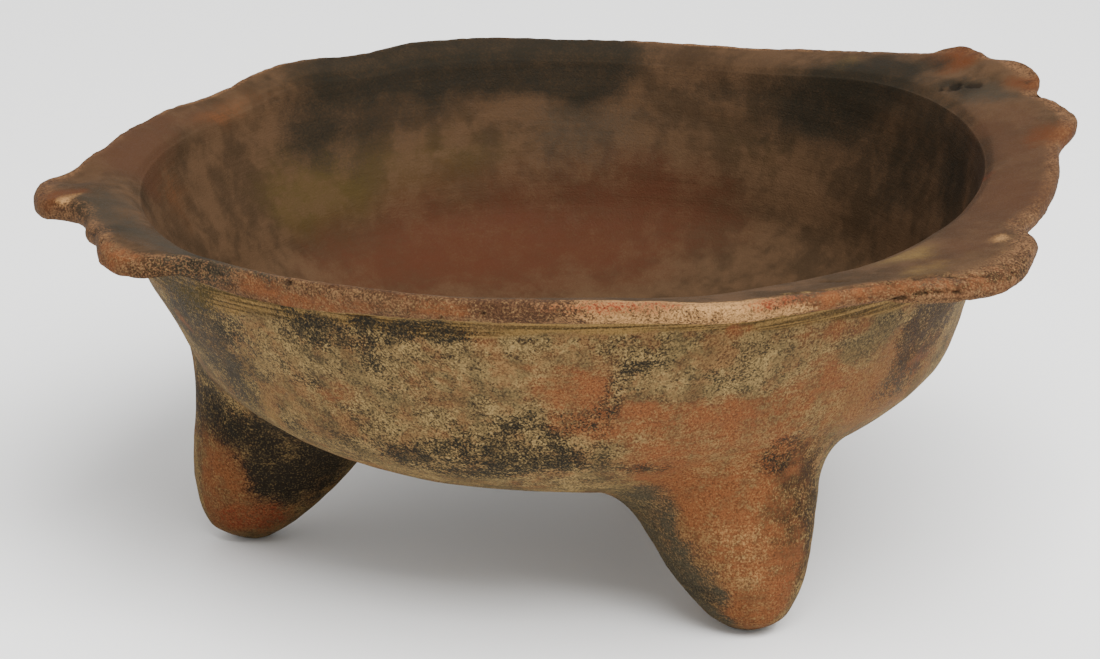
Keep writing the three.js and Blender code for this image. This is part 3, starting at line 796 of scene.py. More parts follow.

# %% [markdown]
# ## What the fire did
# The pot was fired in the open, among its fuel. Where a log lay against it the clay is black, where
# air reached it hot it is orange, and elsewhere it is buff or grey. These fire clouds follow no
# pattern, so they are dabbed on one by one: each dab has a tone, a place on the clay, how far it goes
# through, along and up the wall, and a strength. Noise bends the dabs so that no edge is round. The
# dabs of each tone are added up into an attribute of the mesh, which the materials read.

# %% The dabs of the fire
# Zone and tone, and of each dab the place in millimetres, the size through, along and up the wall in
# millimetres, and the strength
DABS = {
    "wall": {
        "soot": [((-52, -87, 82), (8, 15, 5), 0.9), ((-41, -94, 83), (8, 14, 4), 0.7),
            ((-29, -98, 84), (8, 14, 3.5), 0.7), ((-23, -99, 82), (7, 7, 3), 0.8),
            ((-74, -63, 70), (8, 6, 5), 0.6), ((-42, -89, 73), (7, 4, 4), 0.6),
            ((-56, -76, 65), (7, 4, 3), 0.5), ((-37, -89, 69), (7, 4, 3), 0.5),
            ((-60, -75, 69), (7, 5, 4), 0.5), ((-62, -59, 49), (7, 4, 3), 0.5),
            ((-45, -78, 56), (7, 4, 3), 0.45), ((-46, -72, 48), (7, 6, 4), 0.5),
            ((-28, -82, 50), (8, 13, 7), 0.85), ((-21, -83, 48), (8, 13, 6), 0.9),
            ((-7, -87, 51), (9, 17, 9), 1), ((-8, -93, 61), (7, 9, 6), 0.6),
            ((7, -94, 63), (7, 7, 6), 0.5), ((19, -98, 76), (7, 7, 5), 0.7),
            ((13, -97, 70), (7, 6, 6), 0.4), ((19, -84, 48), (7, 9, 2.5), 0.5),
            ((37, -92, 73), (7, 7, 7), 0.45), ((50, -72, 47), (7, 7, 5), 0.6)],
        "ash": [((-76, -58, 67), (9, 14, 15), 0.8), ((-84, -16, 43), (9, 10, 10), 0.6),
            ((77, -55, 57), (8, 10, 8), 0.5), ((-86, -46, 70), (10, 14, 16), 0.7),
            ((-80, -48, 56), (12, 14, 14), 0.6)],
        "olive": [((-84, -57, 79), (9, 14, 6), 0.8), ((-68, -74, 84), (9, 24, 3.5), 0.6)],
        "rust": [((-84, -46, 68), (6, 4, 3.5), 0.6), ((-50, -79, 63), (8, 10, 7), 0.4),
            ((-17, -100, 81), (6, 5, 4), 0.5), ((3, -97, 70), (8, 13, 12), 0.85),
            ((13, -93, 61), (7, 9, 5), 0.9), ((1, -92, 59), (7, 7, 3.5), 0.6),
            ((31, -83, 50), (10, 22, 16), 0.75), ((39, -83, 55), (9, 20, 12), 0.6),
            ((84, -47, 61), (8, 8, 7), 0.45), ((60, -82, 79), (7, 13, 4), 0.6),
            ((40, -94, 83), (6, 6, 2.5), 0.8), ((58, -78, 67), (8, 10, 9), 0.35),
            ((66, -68, 60), (10, 16, 12), 0.3)],
        "tan": [((65, -67, 58), (9, 26, 18), 0.6), ((-58, -71, 59), (8, 18, 14), 0.35),
            ((77, -54, 58), (12, 20, 16), 0.7)],
        "straw": [((-68, -56, 52), (8, 7, 10), 0.4)],
        "umber": [((88, -46, 76), (12, 14, 14), 0.9), ((84, -51, 66), (10, 12, 14), 0.8)],
        "char": [((90, -36, 80), (12, 14, 12), 0.5)],
    },
    "edge": {
        "rust": [((-100, -62, 90), (8, 9, 8), 0.8), ((-64, -82, 87), (7, 16, 3.5), 0.6),
            ((-50, -92, 89), (7, 14, 3.5), 0.65), ((-26, -104, 91), (7, 12, 4), 0.8),
            ((62, -101, 94), (7, 20, 4), 0.75), ((78, -99, 95), (7, 16, 4), 0.5),
            ((96, -92, 93), (8, 14, 6), 0.4)],
        "umber": [((-89, -68, 89), (6, 16, 5), 0.6), ((-76, -71, 87), (6, 14, 4), 0.5),
            ((68, -98, 94.8), (6, 22, 0.7), 0.9), ((92, -94, 93.4), (6, 14, 0.7), 0.8),
            ((102, -86, 94), (8, 14, 5), 0.55), ((80, -94, 96), (5, 12, 1.5), 0.7),
            ((78, -100, 93), (5, 12, 1.2), 0.6)],
        "rose": [((-72, -77, 92.5), (8, 20, 2.2), 1), ((-43, -97, 94), (8, 26, 2), 1),
            ((-11, -108, 93), (7, 14, 5), 0.8)],
        "cream": [((9, -110, 94), (7, 11, 5), 0.8), ((21, -110, 95), (7, 13, 5), 1.1),
            ((35, -108, 95), (7, 13, 6), 1.2), ((49, -107, 92), (6, 7, 1.5), 0.9)],
        "brick": [((15, -111, 94.6), (6, 11, 2.2), 0.6), ((4, -110, 93), (6, 9, 2), 0.5),
            ((27, -107, 95), (6, 9, 1.6), 0.5), ((47, -107, 94.6), (6, 9, 2.2), 0.6)],
        "ash": [((58, -99, 95), (5, 11, 1.5), 0.8), ((84, -95, 95.2), (6, 12, 1), 0.9)],
        "straw": [((60, -99, 95.8), (6, 18, 0.6), 0.7)],
    },
    "top": {
        "ash": [((-104, -26, 91), (9, 18, 8), 0.8), ((-90, -53, 91), (9, 20, 8), 0.9),
            ((-73, -75, 91), (8, 18, 6), 0.8), ((104, 35, 99), (7, 14, 8), 0.9)],
        "soot": [((-102, -43, 91), (7, 7, 6), 0.6), ((-82, -67, 91), (6, 8, 5), 0.6),
            ((-111, -26, 90), (6, 5, 5), 0.7), ((-25, 102, 93), (12, 32, 8), 0.9),
            ((1, 104, 93), (12, 28, 8), 0.9), ((-53, 91, 92), (10, 20, 8), 0.5),
            ((81, 72, 97), (9, 14, 7), 0.8), ((114, 41, 102), (3, 2.2, 3), 0.8),
            ((96, 63, 100), (5, 4, 6), 0.8), ((99, 45, 98), (4, 8, 6), 0.8)],
        "russet": [((-119, -17, 90), (8, 8, 8), 0.9), ((118, 0, 101), (10, 10, 10), 0.8),
            ((101, 62, 101), (9, 9, 9), 0.9), ((114, 40, 102), (7, 7, 8), 0.9)],
        "cream": [((-116, -23, 90), (5, 5.5, 3.5), 1.4), ((100, -69, 96), (5, 6, 4), 0.6)],
        # Rose-brown of the flange, darkened as painted shade on its upward faces
        "rose": [((-103, 19, 90), (14, 26, 8), 0.8), ((-91, 47, 90), (12, 20, 8), 0.6),
            ((103, -36, 97), (18, 30, 10), 0.9), ((106, 12, 97), (16, 26, 10), 0.8),
            ((86, -77, 96), (12, 20, 8), 0.7)],
        "umber": [((37, 95, 92), (12, 34, 8), 0.6), ((98, 8, 94), (5, 30, 6), 0.8),
            ((92, -32, 94), (5, 26, 6), 0.6)],
        "straw": [((74, 78, 96), (6, 7, 5), 0.6), ((77, -71, 95), (8, 16, 6), 0.5),
            ((83, -85, 96), (6, 14, 5), 0.5)],
        "brick": [((99, -18, 95), (5, 8, 5), 0.4)],
    },
    "inside": {
        "soot": [((-61, 75, 79), (10, 16, 10), 0.9), ((-63, 79, 90), (10, 16, 8), 0.7),
            ((-23, 99, 90), (12, 34, 9), 1), ((-30, 94, 84), (10, 20, 9), 0.7),
            ((-2, 101, 88), (10, 20, 8), 0.9), ((16, 97, 83), (9, 20, 6), 0.6),
            ((-48, 80, 74), (12, 22, 12), 0.6), ((66, 75, 90), (10, 18, 12), 1),
            ((73, 65, 82), (12, 24, 16), 0.8), ((92, 38, 90), (10, 14, 18), 0.9),
            ((96, 19, 84), (9, 10, 16), 1.1), ((82, 44, 68), (10, 16, 14), 0.7),
            ((85, 61, 96), (8, 12, 8), 0.8), ((44, 89, 87), (9, 16, 7), 0.5),
            ((52, 82, 79), (10, 18, 8), 0.4), ((-66, -34, 56), (12, 24, 16), 0.6),
            ((8, -84, 66), (12, 34, 14), 0.6)],
        "olive": [((-65, 65, 69), (12, 24, 14), 0.7), ((-28, 87, 65), (12, 30, 16), 0.6),
            ((-55, 67, 58), (12, 20, 12), 0.5), ((52, 80, 72), (12, 20, 14), 0.4)],
        "ash": [((3, 97, 78), (12, 24, 12), 0.5), ((11, 93, 68), (12, 26, 12), 0.5),
            ((-30, 4, 38), (30, 34, 20), 0.7)],
        "redden": [((-20, 75, 47), (24, 56, 24), 0.75), ((11, 80, 48), (24, 50, 24), 0.6),
            ((-45, 61, 46), (16, 32, 14), 0.5), ((37, 83, 61), (12, 24, 14), 0.4)],
        "rust": [((-93, 20, 77), (12, 16, 14), 0.5), ((-82, 59, 89), (7, 20, 5), 0.6),
            ((97, 5, 83), (3, 2, 5), 0.6), ((80, 50, 71), (5, 7, 6), 0.4),
            ((34, 30, 38), (26, 30, 20), 0.5), ((60, -62, 66), (12, 26, 16), 0.6)],
        "rose": [((-98, 14, 87), (9, 14, 12), 0.6)],
        "umber": [((24, -34, 40), (40, 44, 20), 0.6)],
        "straw": [((-10, -40, 40), (20, 34, 20), 0.4)],
    },
    "legs": {
        "rust": [((-82, -17, 19), (12, 9, 14), 1.1), ((-75, -19, 13), (12, 10, 10), 0.9),
            ((36, -75, 32), (16, 20, 26), 1), ((43, -74, 14), (12, 12, 12), 1),
            ((27, -72, 32), (8, 6, 6), 0.7)],
        "brick": [((-73, -17, 9), (10, 9, 6), 0.6), ((51, -71, 14), (8, 6, 9), 0.25)],
        "char": [((-70, -25, 32), (16, 18, 9), 0.9), ((-60, -23, 24), (14, 18, 11), 0.9),
            ((-63, -19, 15), (12, 12, 10), 0.5), ((-62, -26, 32), (12, 16, 10), 0.4)],
        "moss": [((-61, -21, 20), (14, 16, 14), 0.5), ((19, -67, 33), (12, 8, 11), 1),
            ((23, -68, 23), (12, 7, 11), 1), ((28, -69, 13), (12, 7, 10), 1),
            ((34, -71, 5), (10, 7, 4), 0.9)],
        "soot": [((-78, -22, 37), (12, 14, 8), 0.6), ((19, -67, 31), (8, 4, 8), 0.3),
            ((29, -69, 11), (8, 5, 8), 0.4), ((50, -73, 24), (6, 5, 3), 0.4)],
        "umber": [((-85, -12, 38), (10, 10, 12), 0.7), ((-75, -23, 35), (14, 20, 12), 0.7),
            ((53, -69, 34), (10, 10, 16), 1.1), ((55, -68, 24), (9, 8, 12), 1)],
        "straw": [((-70, -24, 28), (4, 2.5, 2.5), 0.7), ((27, -71, 22), (7, 3, 8), 0.4)],
        "cream": [((40, -75, 26), (8, 10, 12), 0.22), ((44, -76, 14), (8, 6, 6), 0.18)],
    },
}
# The back and the back leg aren't in the photo, so these clouds are made up in the same manner
HIDDEN_DABS = {
    "wall": {
        "soot": [((70, 68, 66), (10, 22, 16), 0.9), ((52, 82, 76), (9, 18, 8), 0.7),
            ((82, 22, 44), (10, 14, 7), 0.6), ((-22, 92, 62), (9, 24, 12), 0.9),
            ((-40, 90, 78), (9, 20, 6), 0.7), ((-94, 14, 72), (9, 16, 8), 0.8),
            ((-26, 22, 27), (26, 30, 10), 0.8)],
        "ash": [((86, 40, 58), (10, 20, 14), 0.7), ((-74, 48, 46), (10, 18, 8), 0.7)],
        "rust": [((92, 18, 70), (9, 18, 16), 0.7), ((22, 92, 58), (10, 26, 14), 0.8),
            ((-84, 36, 62), (10, 18, 14), 0.8), ((30, 26, 28), (24, 26, 10), 0.5)],
        "tan": [((95, -8, 66), (10, 26, 18), 0.6), ((-62, 70, 60), (10, 24, 18), 0.6)],
        "russet": [((-4, 96, 70), (9, 20, 12), 0.6)],
        "umber": [((20, -20, 27), (40, 34, 10), 0.7)],
    },
    "legs": {
        "rust": [((33, 76, 22), (14, 14, 20), 1), ((-64, 6, 20), (12, 12, 18), 0.6),
            ((36, -52, 24), (14, 14, 18), 0.8)],
        "soot": [((22, 70, 26), (12, 10, 18), 0.8), ((50, -54, 30), (12, 10, 12), 0.7)],
        "umber": [((44, 66, 20), (12, 10, 16), 0.8)],
        "russet": [((34, 70, 6), (10, 10, 8), 0.8)],
        "tan": [((-82, 4, 24), (12, 12, 18), 0.8)],
    },
}
ALL_DABS = [*DABS.items(), *HIDDEN_DABS.items()]
TONES = sorted({tone for _, tones in ALL_DABS for tone in tones})
print(sum(len(dabs) for _, tones in ALL_DABS for dabs in tones.values()), "dabs of", len(TONES), "tones")

# %% How the marks lie on the pot
REACH = 1.6
# Size of the noise that bends the dabs, and how far it does
BENDS, BEND_SEED, BEND_STEP = [(16, 5), (5, 2)], 60, 7
# Marks along the lip follow it, so they are bent less
EDGE_BEND = 0.4
# How much of the marks shows on the lip's edge and top, and inside
EDGE_SHOWS, TOP_SHOWS, INSIDE_SHOWS = 0.8, 0.85, 0.6
# A point faces the inside where it turns towards the middle of the mouth, seen from above
INNER_FROM, INNER_TO = 0.25, -0.1
VIEWED_FROM = (*MOUTH_MIDDLE, 130)
EDGE_FROM, EDGE_WIDTH = 0.7, 0.28
# The front of the lip is worn rough, more and more between these places across the bowl. The rest
# is this much smoother, from this share of the lip on
ROUGH_FROM, ROUGH_TO, SMOOTH_EDGE, LIP_NEAR = -35, -65, 0.8, 0.3
# Places across the bowl, how far below the lip the band of lines and painted shade reaches there, and how
# soft its end is
BAND_PLACES, BAND_REACH, BAND_SOFT = (-95, -50, 0, 30, 70, 95), (15, 9.5, 8.3, 9, 13, 15), 1.8
BAND_WAVE, BAND_SWING, BAND_SEED = 22, 1.5, 81
# A point this near to the whole wall belongs to it
ON_WALL = 1

lip_tree = KDTree(len(lip_places))
for i, place in enumerate(lip_places):
    lip_tree.insert(place, i)
lip_tree.balance()


def eased(values):
    """The same values held between 0 and 1, with a soft start and end."""
    values = np.clip(values, 0, 1)
    return values * values * (3 - 2 * values)


def keep(obj, name, values):
    """Stores one number per point as an attribute of the mesh."""
    obj.data.attributes.new(name, "FLOAT", "POINT").data.foreach_set("value", values.astype(np.float32))


def distance(spots, centre, size):
    """How far each spot is from a dab, in sizes of the dab through, along and up the wall."""
    through, along, up = size
    away = np.array(centre[:2], float) / math.hypot(*centre[:2])
    apart = spots - centre
    off = [apart[:, :2] @ away / through, apart[:, :2] @ (-away[1], away[0]) / along, apart[:, 2] / up]
    return np.linalg.norm(off, axis=0)


# %% Paint the fire's marks
def place_on_pot(obj, places, is_leg):
    """Stores where on the pot each point lies, and gives back its shares of the edge and the inside."""
    nearest = [lip_tree.find(place)[1:] for place in places.tolist()]
    index = np.array([i for i, _ in nearest])
    close = np.array([far < ON_WALL for _, far in nearest]) & (not is_leg)
    # A cut tilts the normals along it, so the whole wall's own normals are used
    normals = np.where(close[:, None], wall_normals[index], normals_of(obj))
    toward = places - VIEWED_FROM
    facing = (toward * normals).sum(axis=1) / np.linalg.norm(toward, axis=1)
    inner = eased((facing - INNER_FROM) / (INNER_TO - INNER_FROM)) * (not is_leg)
    edge = eased((lip_share[index] * close - EDGE_FROM) / EDGE_WIDTH)
    level = places[:, 2] - MOUTH_TILT * places[:, 0]
    turns = np.arctan2(places[:, 1] - MOUTH_MIDDLE[1], places[:, 0] - MOUTH_MIDDLE[0])
    below = around(plain_lip, turns)[:, 1] - level
    reach = np.interp(places[:, 0], BAND_PLACES, BAND_REACH)
    reach += BAND_SWING * swell(places, BAND_WAVE, BAND_SEED)
    # The band under the lip, which carries lines and painted shade of the lip's overhang
    keep(obj, "band", eased((reach - below) / BAND_SOFT) * (1 - edge) * (1 - inner) * (not is_leg))
    keep(obj, "below", below)
    rough = eased((places[:, 1] - ROUGH_FROM) / (ROUGH_TO - ROUGH_FROM))
    lip_near = eased(lip_share[index] * close / LIP_NEAR)
    keep(obj, "rubbed", np.maximum(inner * (1 - edge * rough), SMOOTH_EDGE * lip_near * (1 - rough)))
    keep(obj, "inner", inner)
    keep(obj, "edge", edge)
    keep(obj, "sunk", sunk_depth[index] * close)
    return edge, inner


def paint(obj, is_leg=False):
    """Adds up the dabs of each tone, and stores the sums as attributes."""
    places = points_of(obj)
    edge, inner = place_on_pot(obj, places, is_leg)
    bent = places.copy()
    for size, far in BENDS:
        for axis in range(3):
            bent[:, axis] += far * swell(places, size, BEND_SEED + BEND_STEP * axis)
    shows = {
        "wall": (1 - edge) * (1 - inner),
        "edge": EDGE_SHOWS * edge,
        "top": TOP_SHOWS,
        "inside": INSIDE_SHOWS * inner,
        "legs": 1 - inner,
    }
    fields = {tone: np.zeros(len(places)) for tone in TONES}
    for zone, tones in ALL_DABS:
        spots = places + (bent - places) * (EDGE_BEND if zone == "edge" else 1)
        for tone, dabs in tones.items():
            for centre, size, strength in dabs:
                near = eased(1 - distance(spots, centre, size) / REACH)
                fields[tone] += strength * near * shows[zone]
    for tone, field in fields.items():
        keep(obj, tone, field)


for piece in (wall, rim, *lugs.values()):
    paint(piece)
for leg in legs.values():
    paint(leg, True)
print("Painted", 2 + len(lugs) + len(legs), "pieces")

# %% [markdown]
# ## Burnished earthenware
# Unglazed earthenware is a coarse, porous ceramic. Up close its burnished skin is worn through to
# the grains of sand in it, so no tone is ever solid: soot lies between pale grains, and the orange
# clay is dotted with dark ones. The base is two tones of clay split by noise of several real sizes.
# Each tone of the fire is a thin skin over it, and the same grains wear holes in the skin. Faint
# level streaks come from the rubbing stone, a band of fine lines under the lip is partly the wiping
# of the joint and partly painted shade of the lip's overhang, and painted shade darkens the pits.
# The same functions build it for every piece, so that the tones run on from piece to piece.

# %% One function that adds a node, and the tones
# Each tone has its colour, the most that it covers, and how the grains wear it: the skins that
# leave pale grains bare come from smoke, the others are clay that the fire has coloured
CLAY_TONES = {
    # The rose is the rim's rose-brown clay, darkened further as painted shade on its upward faces
    "rose": ("#3d281a", 0.75, "clay"),
    "tan": ("#67472a", 0.75, "clay"),
    "straw": ("#6b5530", 0.75, "clay"),
    "umber": ("#2b1e12", 0.75, "smoke"),
    "olive": ("#3d3217", 0.7, "clay"),
    "ash": ("#2f2920", 0.75, "smoke"),
    "redden": ("#3f2315", 0.75, "clay"),
    "rust": ("#653d23", 0.66, "clay"),
    "russet": ("#4a2813", 0.75, "clay"),
    "cream": ("#977248", 0.66, "rough"),
    "brick": ("#662e1c", 0.5, "rough"),
    "moss": ("#3a3427", 0.8, "clay"),
    "char": ("#201b14", 0.85, "clay"),
    "soot": ("#1b1811", 0.72, "smoke"),
}
CLAY_DARK, CLAY_LIGHT, CLAY_FLUSH, CLAY_DAMP = "#261d12", "#846e47", "#633f25", "#383120"
EDGE_DARK, EDGE_LIGHT = "#332216", "#664a32"
# The band under the lip: ochre lines, darker as painted shade of the lip's overhang
SHADED_BAND_DARK, SHADED_BAND_LIGHT = "#3f2f17", "#735a33"
# Clay of the inner and upper faces: darker in its own colour, and darker again as painted shade
INSIDE_SHADED_DARK, INSIDE_SHADED_LIGHT = "#322518", "#443222"
SPECK_DARK, SPECK_PALE = "#1a130b", "#947b4e"
# The colour of the painted shade in the pits and cracks
PIT_SHADE = "#100c08"
# Settings and sockets of the nodes that are used most
MIX = {"data_type": "RGBA"}
SUM = {"operation": "MULTIPLY_ADD"}
TIMES = {"operation": "MULTIPLY"}
EASE = {"interpolation_type": "SMOOTHSTEP"}
FACTOR, FIRST, SECOND, MIXED = 0, 6, 7, 2
VALUE, FROM_LOW, FROM_HIGH, TO_LOW, TO_HIGH = range(5)


def linear(tone):
    """An sRGB hex value as the linear colour that Blender's sockets take."""
    parts = [int(tone[i:i + 2], 16) / 255 for i in (1, 3, 5)]
    return (*[p / 12.92 if p <= 0.04045 else ((p + 0.055) / 1.055) ** 2.4 for p in parts], 1)


def add(tree, kind, settings, inputs, output=0):
    """Adds a node with its settings, sets or links its inputs, and gives back one output."""
    node = tree.nodes.new(kind)
    for name, value in settings.items():
        setattr(node, name, value)
    for name, value in inputs.items():
        if isinstance(value, bpy.types.NodeSocket):
            tree.links.new(value, node.inputs[name])
        else:
            node.inputs[name].default_value = value
    return node.outputs[output]


# %% The patterns in the clay
# Size in millimetres, octaves, and the middle range of the noise that is stretched to 0 to 1
GRAINS = {
    "grain": (0.55, 2, 0.3, 0.7),
    "sand": (0.48, 2, 0.32, 0.68),
    "clump": (4, 4, 0.36, 0.64),
    "patch": (6, 4, 0.36, 0.64),
    "flush": (9, 4, 0.45, 0.7),
    "damp": (11, 4, 0.45, 0.7),
    "cloud": (15, 3, 0.36, 0.64),
}
NOISE_ROUGHNESS = 0.7
STREAK, STREAK_OCTAVES, STREAK_RANGE = (26, 26, 1.3), 3, {FROM_LOW: 0.35, FROM_HIGH: 0.65}
CELL, CELL_RANGE = 0.38, {FROM_LOW: 0.25, FROM_HIGH: 0.75}
# How much of each grain goes into the clay's own pattern and into what wears the skins away
PALE_MIX = {"grain": 0.34, "grit": 0.26, "clump": 0.2, "cloud": 0.1, "streak": 0.1}
WORN_MIX = {"sand": 0.36, "patch": 0.34, "cloud": 0.16, "streak": 0.14}


def patterns(tree):
    """Reads the painted fields, and makes noise of each size, level streaks and cells of grit."""
    spot = add(tree, "ShaderNodeTexCoord", {}, {}, "Object")
    spot = add(tree, "ShaderNodeVectorMath", {"operation": "SCALE"}, {0: spot, "Scale": 1 / MM})
    read = {"spot": spot}
    for field in ("inner", "rubbed", "edge", "band", "below", "sunk", *CLAY_TONES):
        read[field] = add(tree, "ShaderNodeAttribute", {"attribute_name": field}, {}, "Fac")
    for grain, (size, octaves, low, high) in GRAINS.items():
        inputs = {"Vector": spot, "Scale": 1 / size, "Detail": octaves, "Roughness": NOISE_ROUGHNESS}
        noisy = add(tree, "ShaderNodeTexNoise", {}, inputs)
        read[grain] = add(tree, "ShaderNodeMapRange", EASE, {VALUE: noisy, FROM_LOW: low, FROM_HIGH: high})
    flat = add(tree, "ShaderNodeVectorMath", {"operation": "DIVIDE"}, {0: spot, 1: STREAK})
    flat = add(tree, "ShaderNodeTexNoise", {}, {"Vector": flat, "Scale": 1, "Detail": STREAK_OCTAVES})
    read["streak"] = add(tree, "ShaderNodeMapRange", EASE, {VALUE: flat, **STREAK_RANGE})
    cells = add(tree, "ShaderNodeTexVoronoi", {}, {"Vector": spot, "Scale": 1 / CELL}, "Color")
    read["grit"] = add(tree, "ShaderNodeMapRange", EASE, {VALUE: cells, **CELL_RANGE})
    # The clay's own pattern, and what wears the skins away, both from 0 to 1
    for name, mix in (("pale", PALE_MIX), ("worn", WORN_MIX)):
        read[name] = 0
        for grain, share in mix.items():
            read[name] = add(tree, "ShaderNodeMath", SUM, {0: read[grain], 1: share, 2: read[name]})
    return read


# %% The bare clay
SPLIT_RANGE = {FROM_LOW: 0.15, FROM_HIGH: 0.85}
HUE_RANGE = {FROM_LOW: 0.4, FROM_HIGH: 1.3, TO_HIGH: 0.55}
SOFT_SHARE, SOFT_RANGE = 0.5, {FROM_HIGH: 1.5}


def bare_clay(tree, read):
    """Buff clay outside, darker clay on the inner and upper faces, partly its own colour and partly painted
    shade, and the redder clay of the lip.
    """
    split = add(tree, "ShaderNodeMapRange", EASE, {VALUE: read["pale"], **SPLIT_RANGE})
    tones = {FIRST: linear(CLAY_DARK), SECOND: linear(CLAY_LIGHT)}
    outside = add(tree, "ShaderNodeMix", MIX, {FACTOR: split, **tones}, MIXED)
    for patches, hue in (("flush", CLAY_FLUSH), ("damp", CLAY_DAMP)):
        share = add(tree, "ShaderNodeMath", {"operation": "ADD"}, {0: read["worn"], 1: read[patches]})
        share = add(tree, "ShaderNodeMapRange", EASE, {VALUE: share, **HUE_RANGE})
        tones = {FIRST: outside, SECOND: linear(hue)}
        outside = add(tree, "ShaderNodeMix", MIX, {FACTOR: share, **tones}, MIXED)
    soft = add(tree, "ShaderNodeMath", SUM, {0: read["patch"], 1: SOFT_SHARE, 2: read["cloud"]})
    soft = add(tree, "ShaderNodeMapRange", EASE, {VALUE: soft, **SOFT_RANGE})
    # The inner and upper faces, darkened partly as painted shade
    tones = {FIRST: linear(INSIDE_SHADED_DARK), SECOND: linear(INSIDE_SHADED_LIGHT)}
    inside = add(tree, "ShaderNodeMix", MIX, {FACTOR: soft, **tones}, MIXED)
    tones = {FIRST: outside, SECOND: inside}
    colour = add(tree, "ShaderNodeMix", MIX, {FACTOR: read["inner"], **tones}, MIXED)
    tones = {FIRST: linear(EDGE_DARK), SECOND: linear(EDGE_LIGHT)}
    lip = add(tree, "ShaderNodeMix", MIX, {FACTOR: split, **tones}, MIXED)
    return colour, lip


# %% The painted shade under the lip, with the lines of the wiped joint
# Size of the lines along the wall, and the gap between them
LINES, LINE_GAP = (1 / 30, 1 / 30, 0), 0.55
LINE_OCTAVES, LINE_RANGE = 2, {FROM_LOW: 0.38, FROM_HIGH: 0.6}


def wiped_lines_and_lip_shade(tree, read):
    """Fine dark and ochre lines where the joint under the lip was wiped, darkened as painted shade of the
    lip's overhang.
    """
    flat = add(tree, "ShaderNodeCombineXYZ", {}, {"Z": read["below"]})
    flat = add(tree, "ShaderNodeVectorMath", {"operation": "SCALE"}, {0: flat, "Scale": 1 / LINE_GAP})
    flat = add(tree, "ShaderNodeVectorMath", SUM, {0: read["spot"], 1: LINES, 2: flat})
    flat = add(tree, "ShaderNodeTexNoise", {}, {"Vector": flat, "Scale": 1, "Detail": LINE_OCTAVES})
    flat = add(tree, "ShaderNodeMapRange", EASE, {VALUE: flat, **LINE_RANGE})
    tones = {FIRST: linear(SHADED_BAND_DARK), SECOND: linear(SHADED_BAND_LIGHT)}
    return add(tree, "ShaderNodeMix", MIX, {FACTOR: flat, **tones}, MIXED)


# %% The skins of the fire
# How unevenly each kind of skin is worn outside and inside
WEAR = {"clay": (1.2, 0.4), "rough": (-1.4, -0.4), "smoke": (1.5, 0.35)}
WORN_BY = {"clay": "worn", "rough": "pale", "smoke": "pale"}
HALF_WORN = 0.5
EDGE_COVER, BAND_COVER = 1, 0.8
# A skin is whole and gone at these values, and where it was hardly painted it isn't there at all
SKIN_RANGE, PRESENT_RANGE = {FROM_LOW: 0.08, FROM_HIGH: 0.92}, {FROM_HIGH: 0.4}


def fired_skins(tree, read, colour, lip):
    """Each skin covers the last, except where the grains have worn through it."""
    bites = {}
    for kind, (outer, inner) in WEAR.items():
        depth = add(tree, "ShaderNodeMath", SUM, {0: read["rubbed"], 1: inner - outer, 2: outer})
        bite = add(tree, "ShaderNodeMath", {"operation": "SUBTRACT"}, {0: HALF_WORN, 1: read[WORN_BY[kind]]})
        bites[kind] = add(tree, "ShaderNodeMath", TIMES, {0: bite, 1: depth})
    # The band's skin is painted shade under the lip, with the lines of the joint in it
    skins = [("edge", lip, EDGE_COVER, "clay"), ("band", wiped_lines_and_lip_shade(tree, read), BAND_COVER, "clay")]
    skins += [(tone, linear(look), most, kind) for tone, (look, most, kind) in CLAY_TONES.items()]
    for field, look, most, kind in skins:
        cover = add(tree, "ShaderNodeMath", {"operation": "MINIMUM"}, {0: read[field], 1: most})
        cover = add(tree, "ShaderNodeMath", {"operation": "ADD"}, {0: cover, 1: bites[kind]})
        cover = add(tree, "ShaderNodeMapRange", EASE, {VALUE: cover, **SKIN_RANGE})
        present = add(tree, "ShaderNodeMapRange", EASE, {VALUE: read[field], **PRESENT_RANGE})
        cover = add(tree, "ShaderNodeMath", TIMES, {0: cover, 1: present})
        colour = add(tree, "ShaderNodeMix", MIX, {FACTOR: cover, FIRST: colour, SECOND: look}, MIXED)
    return colour


# %% Specks and painted shade in the pits
SPECKS_OUTSIDE, SPECKS_INSIDE = 0.5, 0.04
# Between which values of the sand a pale or a dark speck shows
SPECKS = [(0.75, 1.3, SPECK_PALE), (0.5, 0, SPECK_DARK)]
# The painted shade in the pits and cracks grows with how deep the clay was pressed in
PIT_SHADE_RANGE = {FROM_LOW: 0.15, FROM_HIGH: 0.7, TO_HIGH: 0.6}


def specks_and_pit_shade(tree, read, colour):
    """A few dark and pale grains show through every skin, and painted shade darkens the pits and cracks."""
    seen = {0: read["rubbed"], 1: SPECKS_INSIDE - SPECKS_OUTSIDE, 2: SPECKS_OUTSIDE}
    seen = add(tree, "ShaderNodeMath", SUM, seen)
    for low, high, speck in SPECKS:
        few = {VALUE: read["sand"], FROM_LOW: low, FROM_HIGH: high, TO_HIGH: seen}
        few = add(tree, "ShaderNodeMapRange", EASE, few)
        colour = add(tree, "ShaderNodeMix", MIX, {FACTOR: few, FIRST: colour, SECOND: linear(speck)}, MIXED)
    # Painted shade, darker where the clay was pressed in deeper
    pit_shade = add(tree, "ShaderNodeMapRange", EASE, {VALUE: read["sunk"], **PIT_SHADE_RANGE})
    return add(tree, "ShaderNodeMix", MIX, {FACTOR: pit_shade, FIRST: colour, SECOND: linear(PIT_SHADE)}, MIXED)


# %% The earthenware
# Fired clay bends light as glass does, but its sandy skin leaves it hardly any gloss
CLAY_IOR, CLAY_GLOSS = 1.5, 0.06
SMOOTHER, ROUGHER = 0.1, 0.12
RELIEF_MIX = {"grain": 0.4, "sand": 0.25, "clump": 0.25, "streak": 0.3}
RELIEF = 0.1


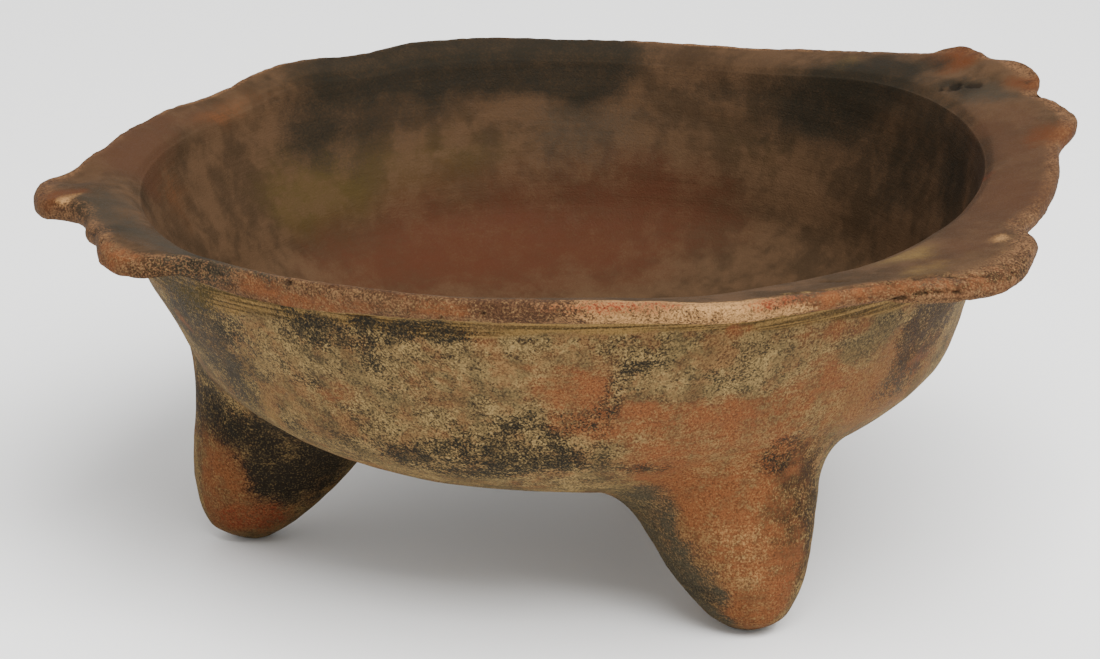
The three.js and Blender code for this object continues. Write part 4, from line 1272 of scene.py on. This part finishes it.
def earthenware(name, roughness):
    """The clay of one kind of piece, with all that the hand and the fire left on it."""
    material = bpy.data.materials.new(name)
    material.use_nodes = True
    tree = material.node_tree
    shader = tree.nodes["Principled BSDF"]
    shader.inputs["IOR"].default_value = CLAY_IOR
    shader.inputs["Specular IOR Level"].default_value = CLAY_GLOSS
    read = patterns(tree)
    colour = fired_skins(tree, read, *bare_clay(tree, read))
    tree.links.new(specks_and_pit_shade(tree, read, colour), shader.inputs["Base Color"])
    rough = {VALUE: read["pale"], TO_LOW: roughness - SMOOTHER, TO_HIGH: roughness + ROUGHER}
    rough = add(tree, "ShaderNodeMapRange", EASE, rough)
    tree.links.new(rough, shader.inputs["Roughness"])
    uneven = 0
    for grain, share in RELIEF_MIX.items():
        uneven = add(tree, "ShaderNodeMath", SUM, {0: read[grain], 1: share, 2: uneven})
    bump = add(tree, "ShaderNodeBump", {}, {"Height": uneven, "Distance": RELIEF * MM, "Strength": 1})
    tree.links.new(bump, shader.inputs["Normal"])
    return material


# %% Finish each kind of piece
# Name, roughness, slot and pieces. The wall was rubbed most, and the pellets not at all
FINISHES = [
    ("burnished_earthenware", 0.75, "bowl_clay", [wall]),
    ("worn_earthenware_rim", 0.78, "rim_clay", [rim]),
    ("worn_earthenware_lugs", 0.78, "lug_clay", list(lugs.values())),
    ("smoothed_earthenware_legs", 0.8, "leg_clay", list(legs.values())),
    ("rough_earthenware_pellets", 0.85, "pellet_clay", list(pellets.values())),
]
for name, roughness, slot, pieces in FINISHES:
    clay = earthenware(name, roughness)
    for piece in pieces:
        piece.data.materials.clear()
        piece.data.materials.append(clay)
print("Finished", len(FINISHES), "kinds of clay, each of", len(clay.node_tree.nodes), "nodes")

# %% [markdown]
# ## Floor and light
# The bowl stands on a sheet of pale paper in a studio. A bright, even sky fills the shadows, and one
# large soft lamp from the upper right gives the lip and the legs their shape.

# %% Floor and light
FLOOR_SIZE = 6
PAPER = (0.93, 0.93, 0.92, 1)
LAMP_PLACE, LAMP_TURN = (0.5, -0.8, 1.6), (math.radians(30), math.radians(17), 0)
LAMP_SIZE, LAMP_POWER = 1.5, 90
SKY, SKY_STRENGTH = (1, 1, 1, 1), 1.05

bpy.ops.object.select_all(action="DESELECT")
bpy.ops.mesh.primitive_plane_add(size=FLOOR_SIZE, location=(0, 0, 0))
floor = bpy.context.object
floor.name = "floor"
paper = bpy.data.materials.new("pale_paper")
paper.use_nodes = True
paper.node_tree.nodes["Principled BSDF"].inputs["Base Color"].default_value = PAPER
floor.data.materials.append(paper)
bpy.ops.object.light_add(type="AREA", location=LAMP_PLACE, rotation=LAMP_TURN)
bpy.context.object.data.size = LAMP_SIZE
bpy.context.object.data.energy = LAMP_POWER
world = bpy.data.worlds.new("daylight")
bpy.context.scene.world = world
world.use_nodes = True
world.node_tree.nodes["Background"].inputs["Color"].default_value = SKY
world.node_tree.nodes["Background"].inputs["Strength"].default_value = SKY_STRENGTH
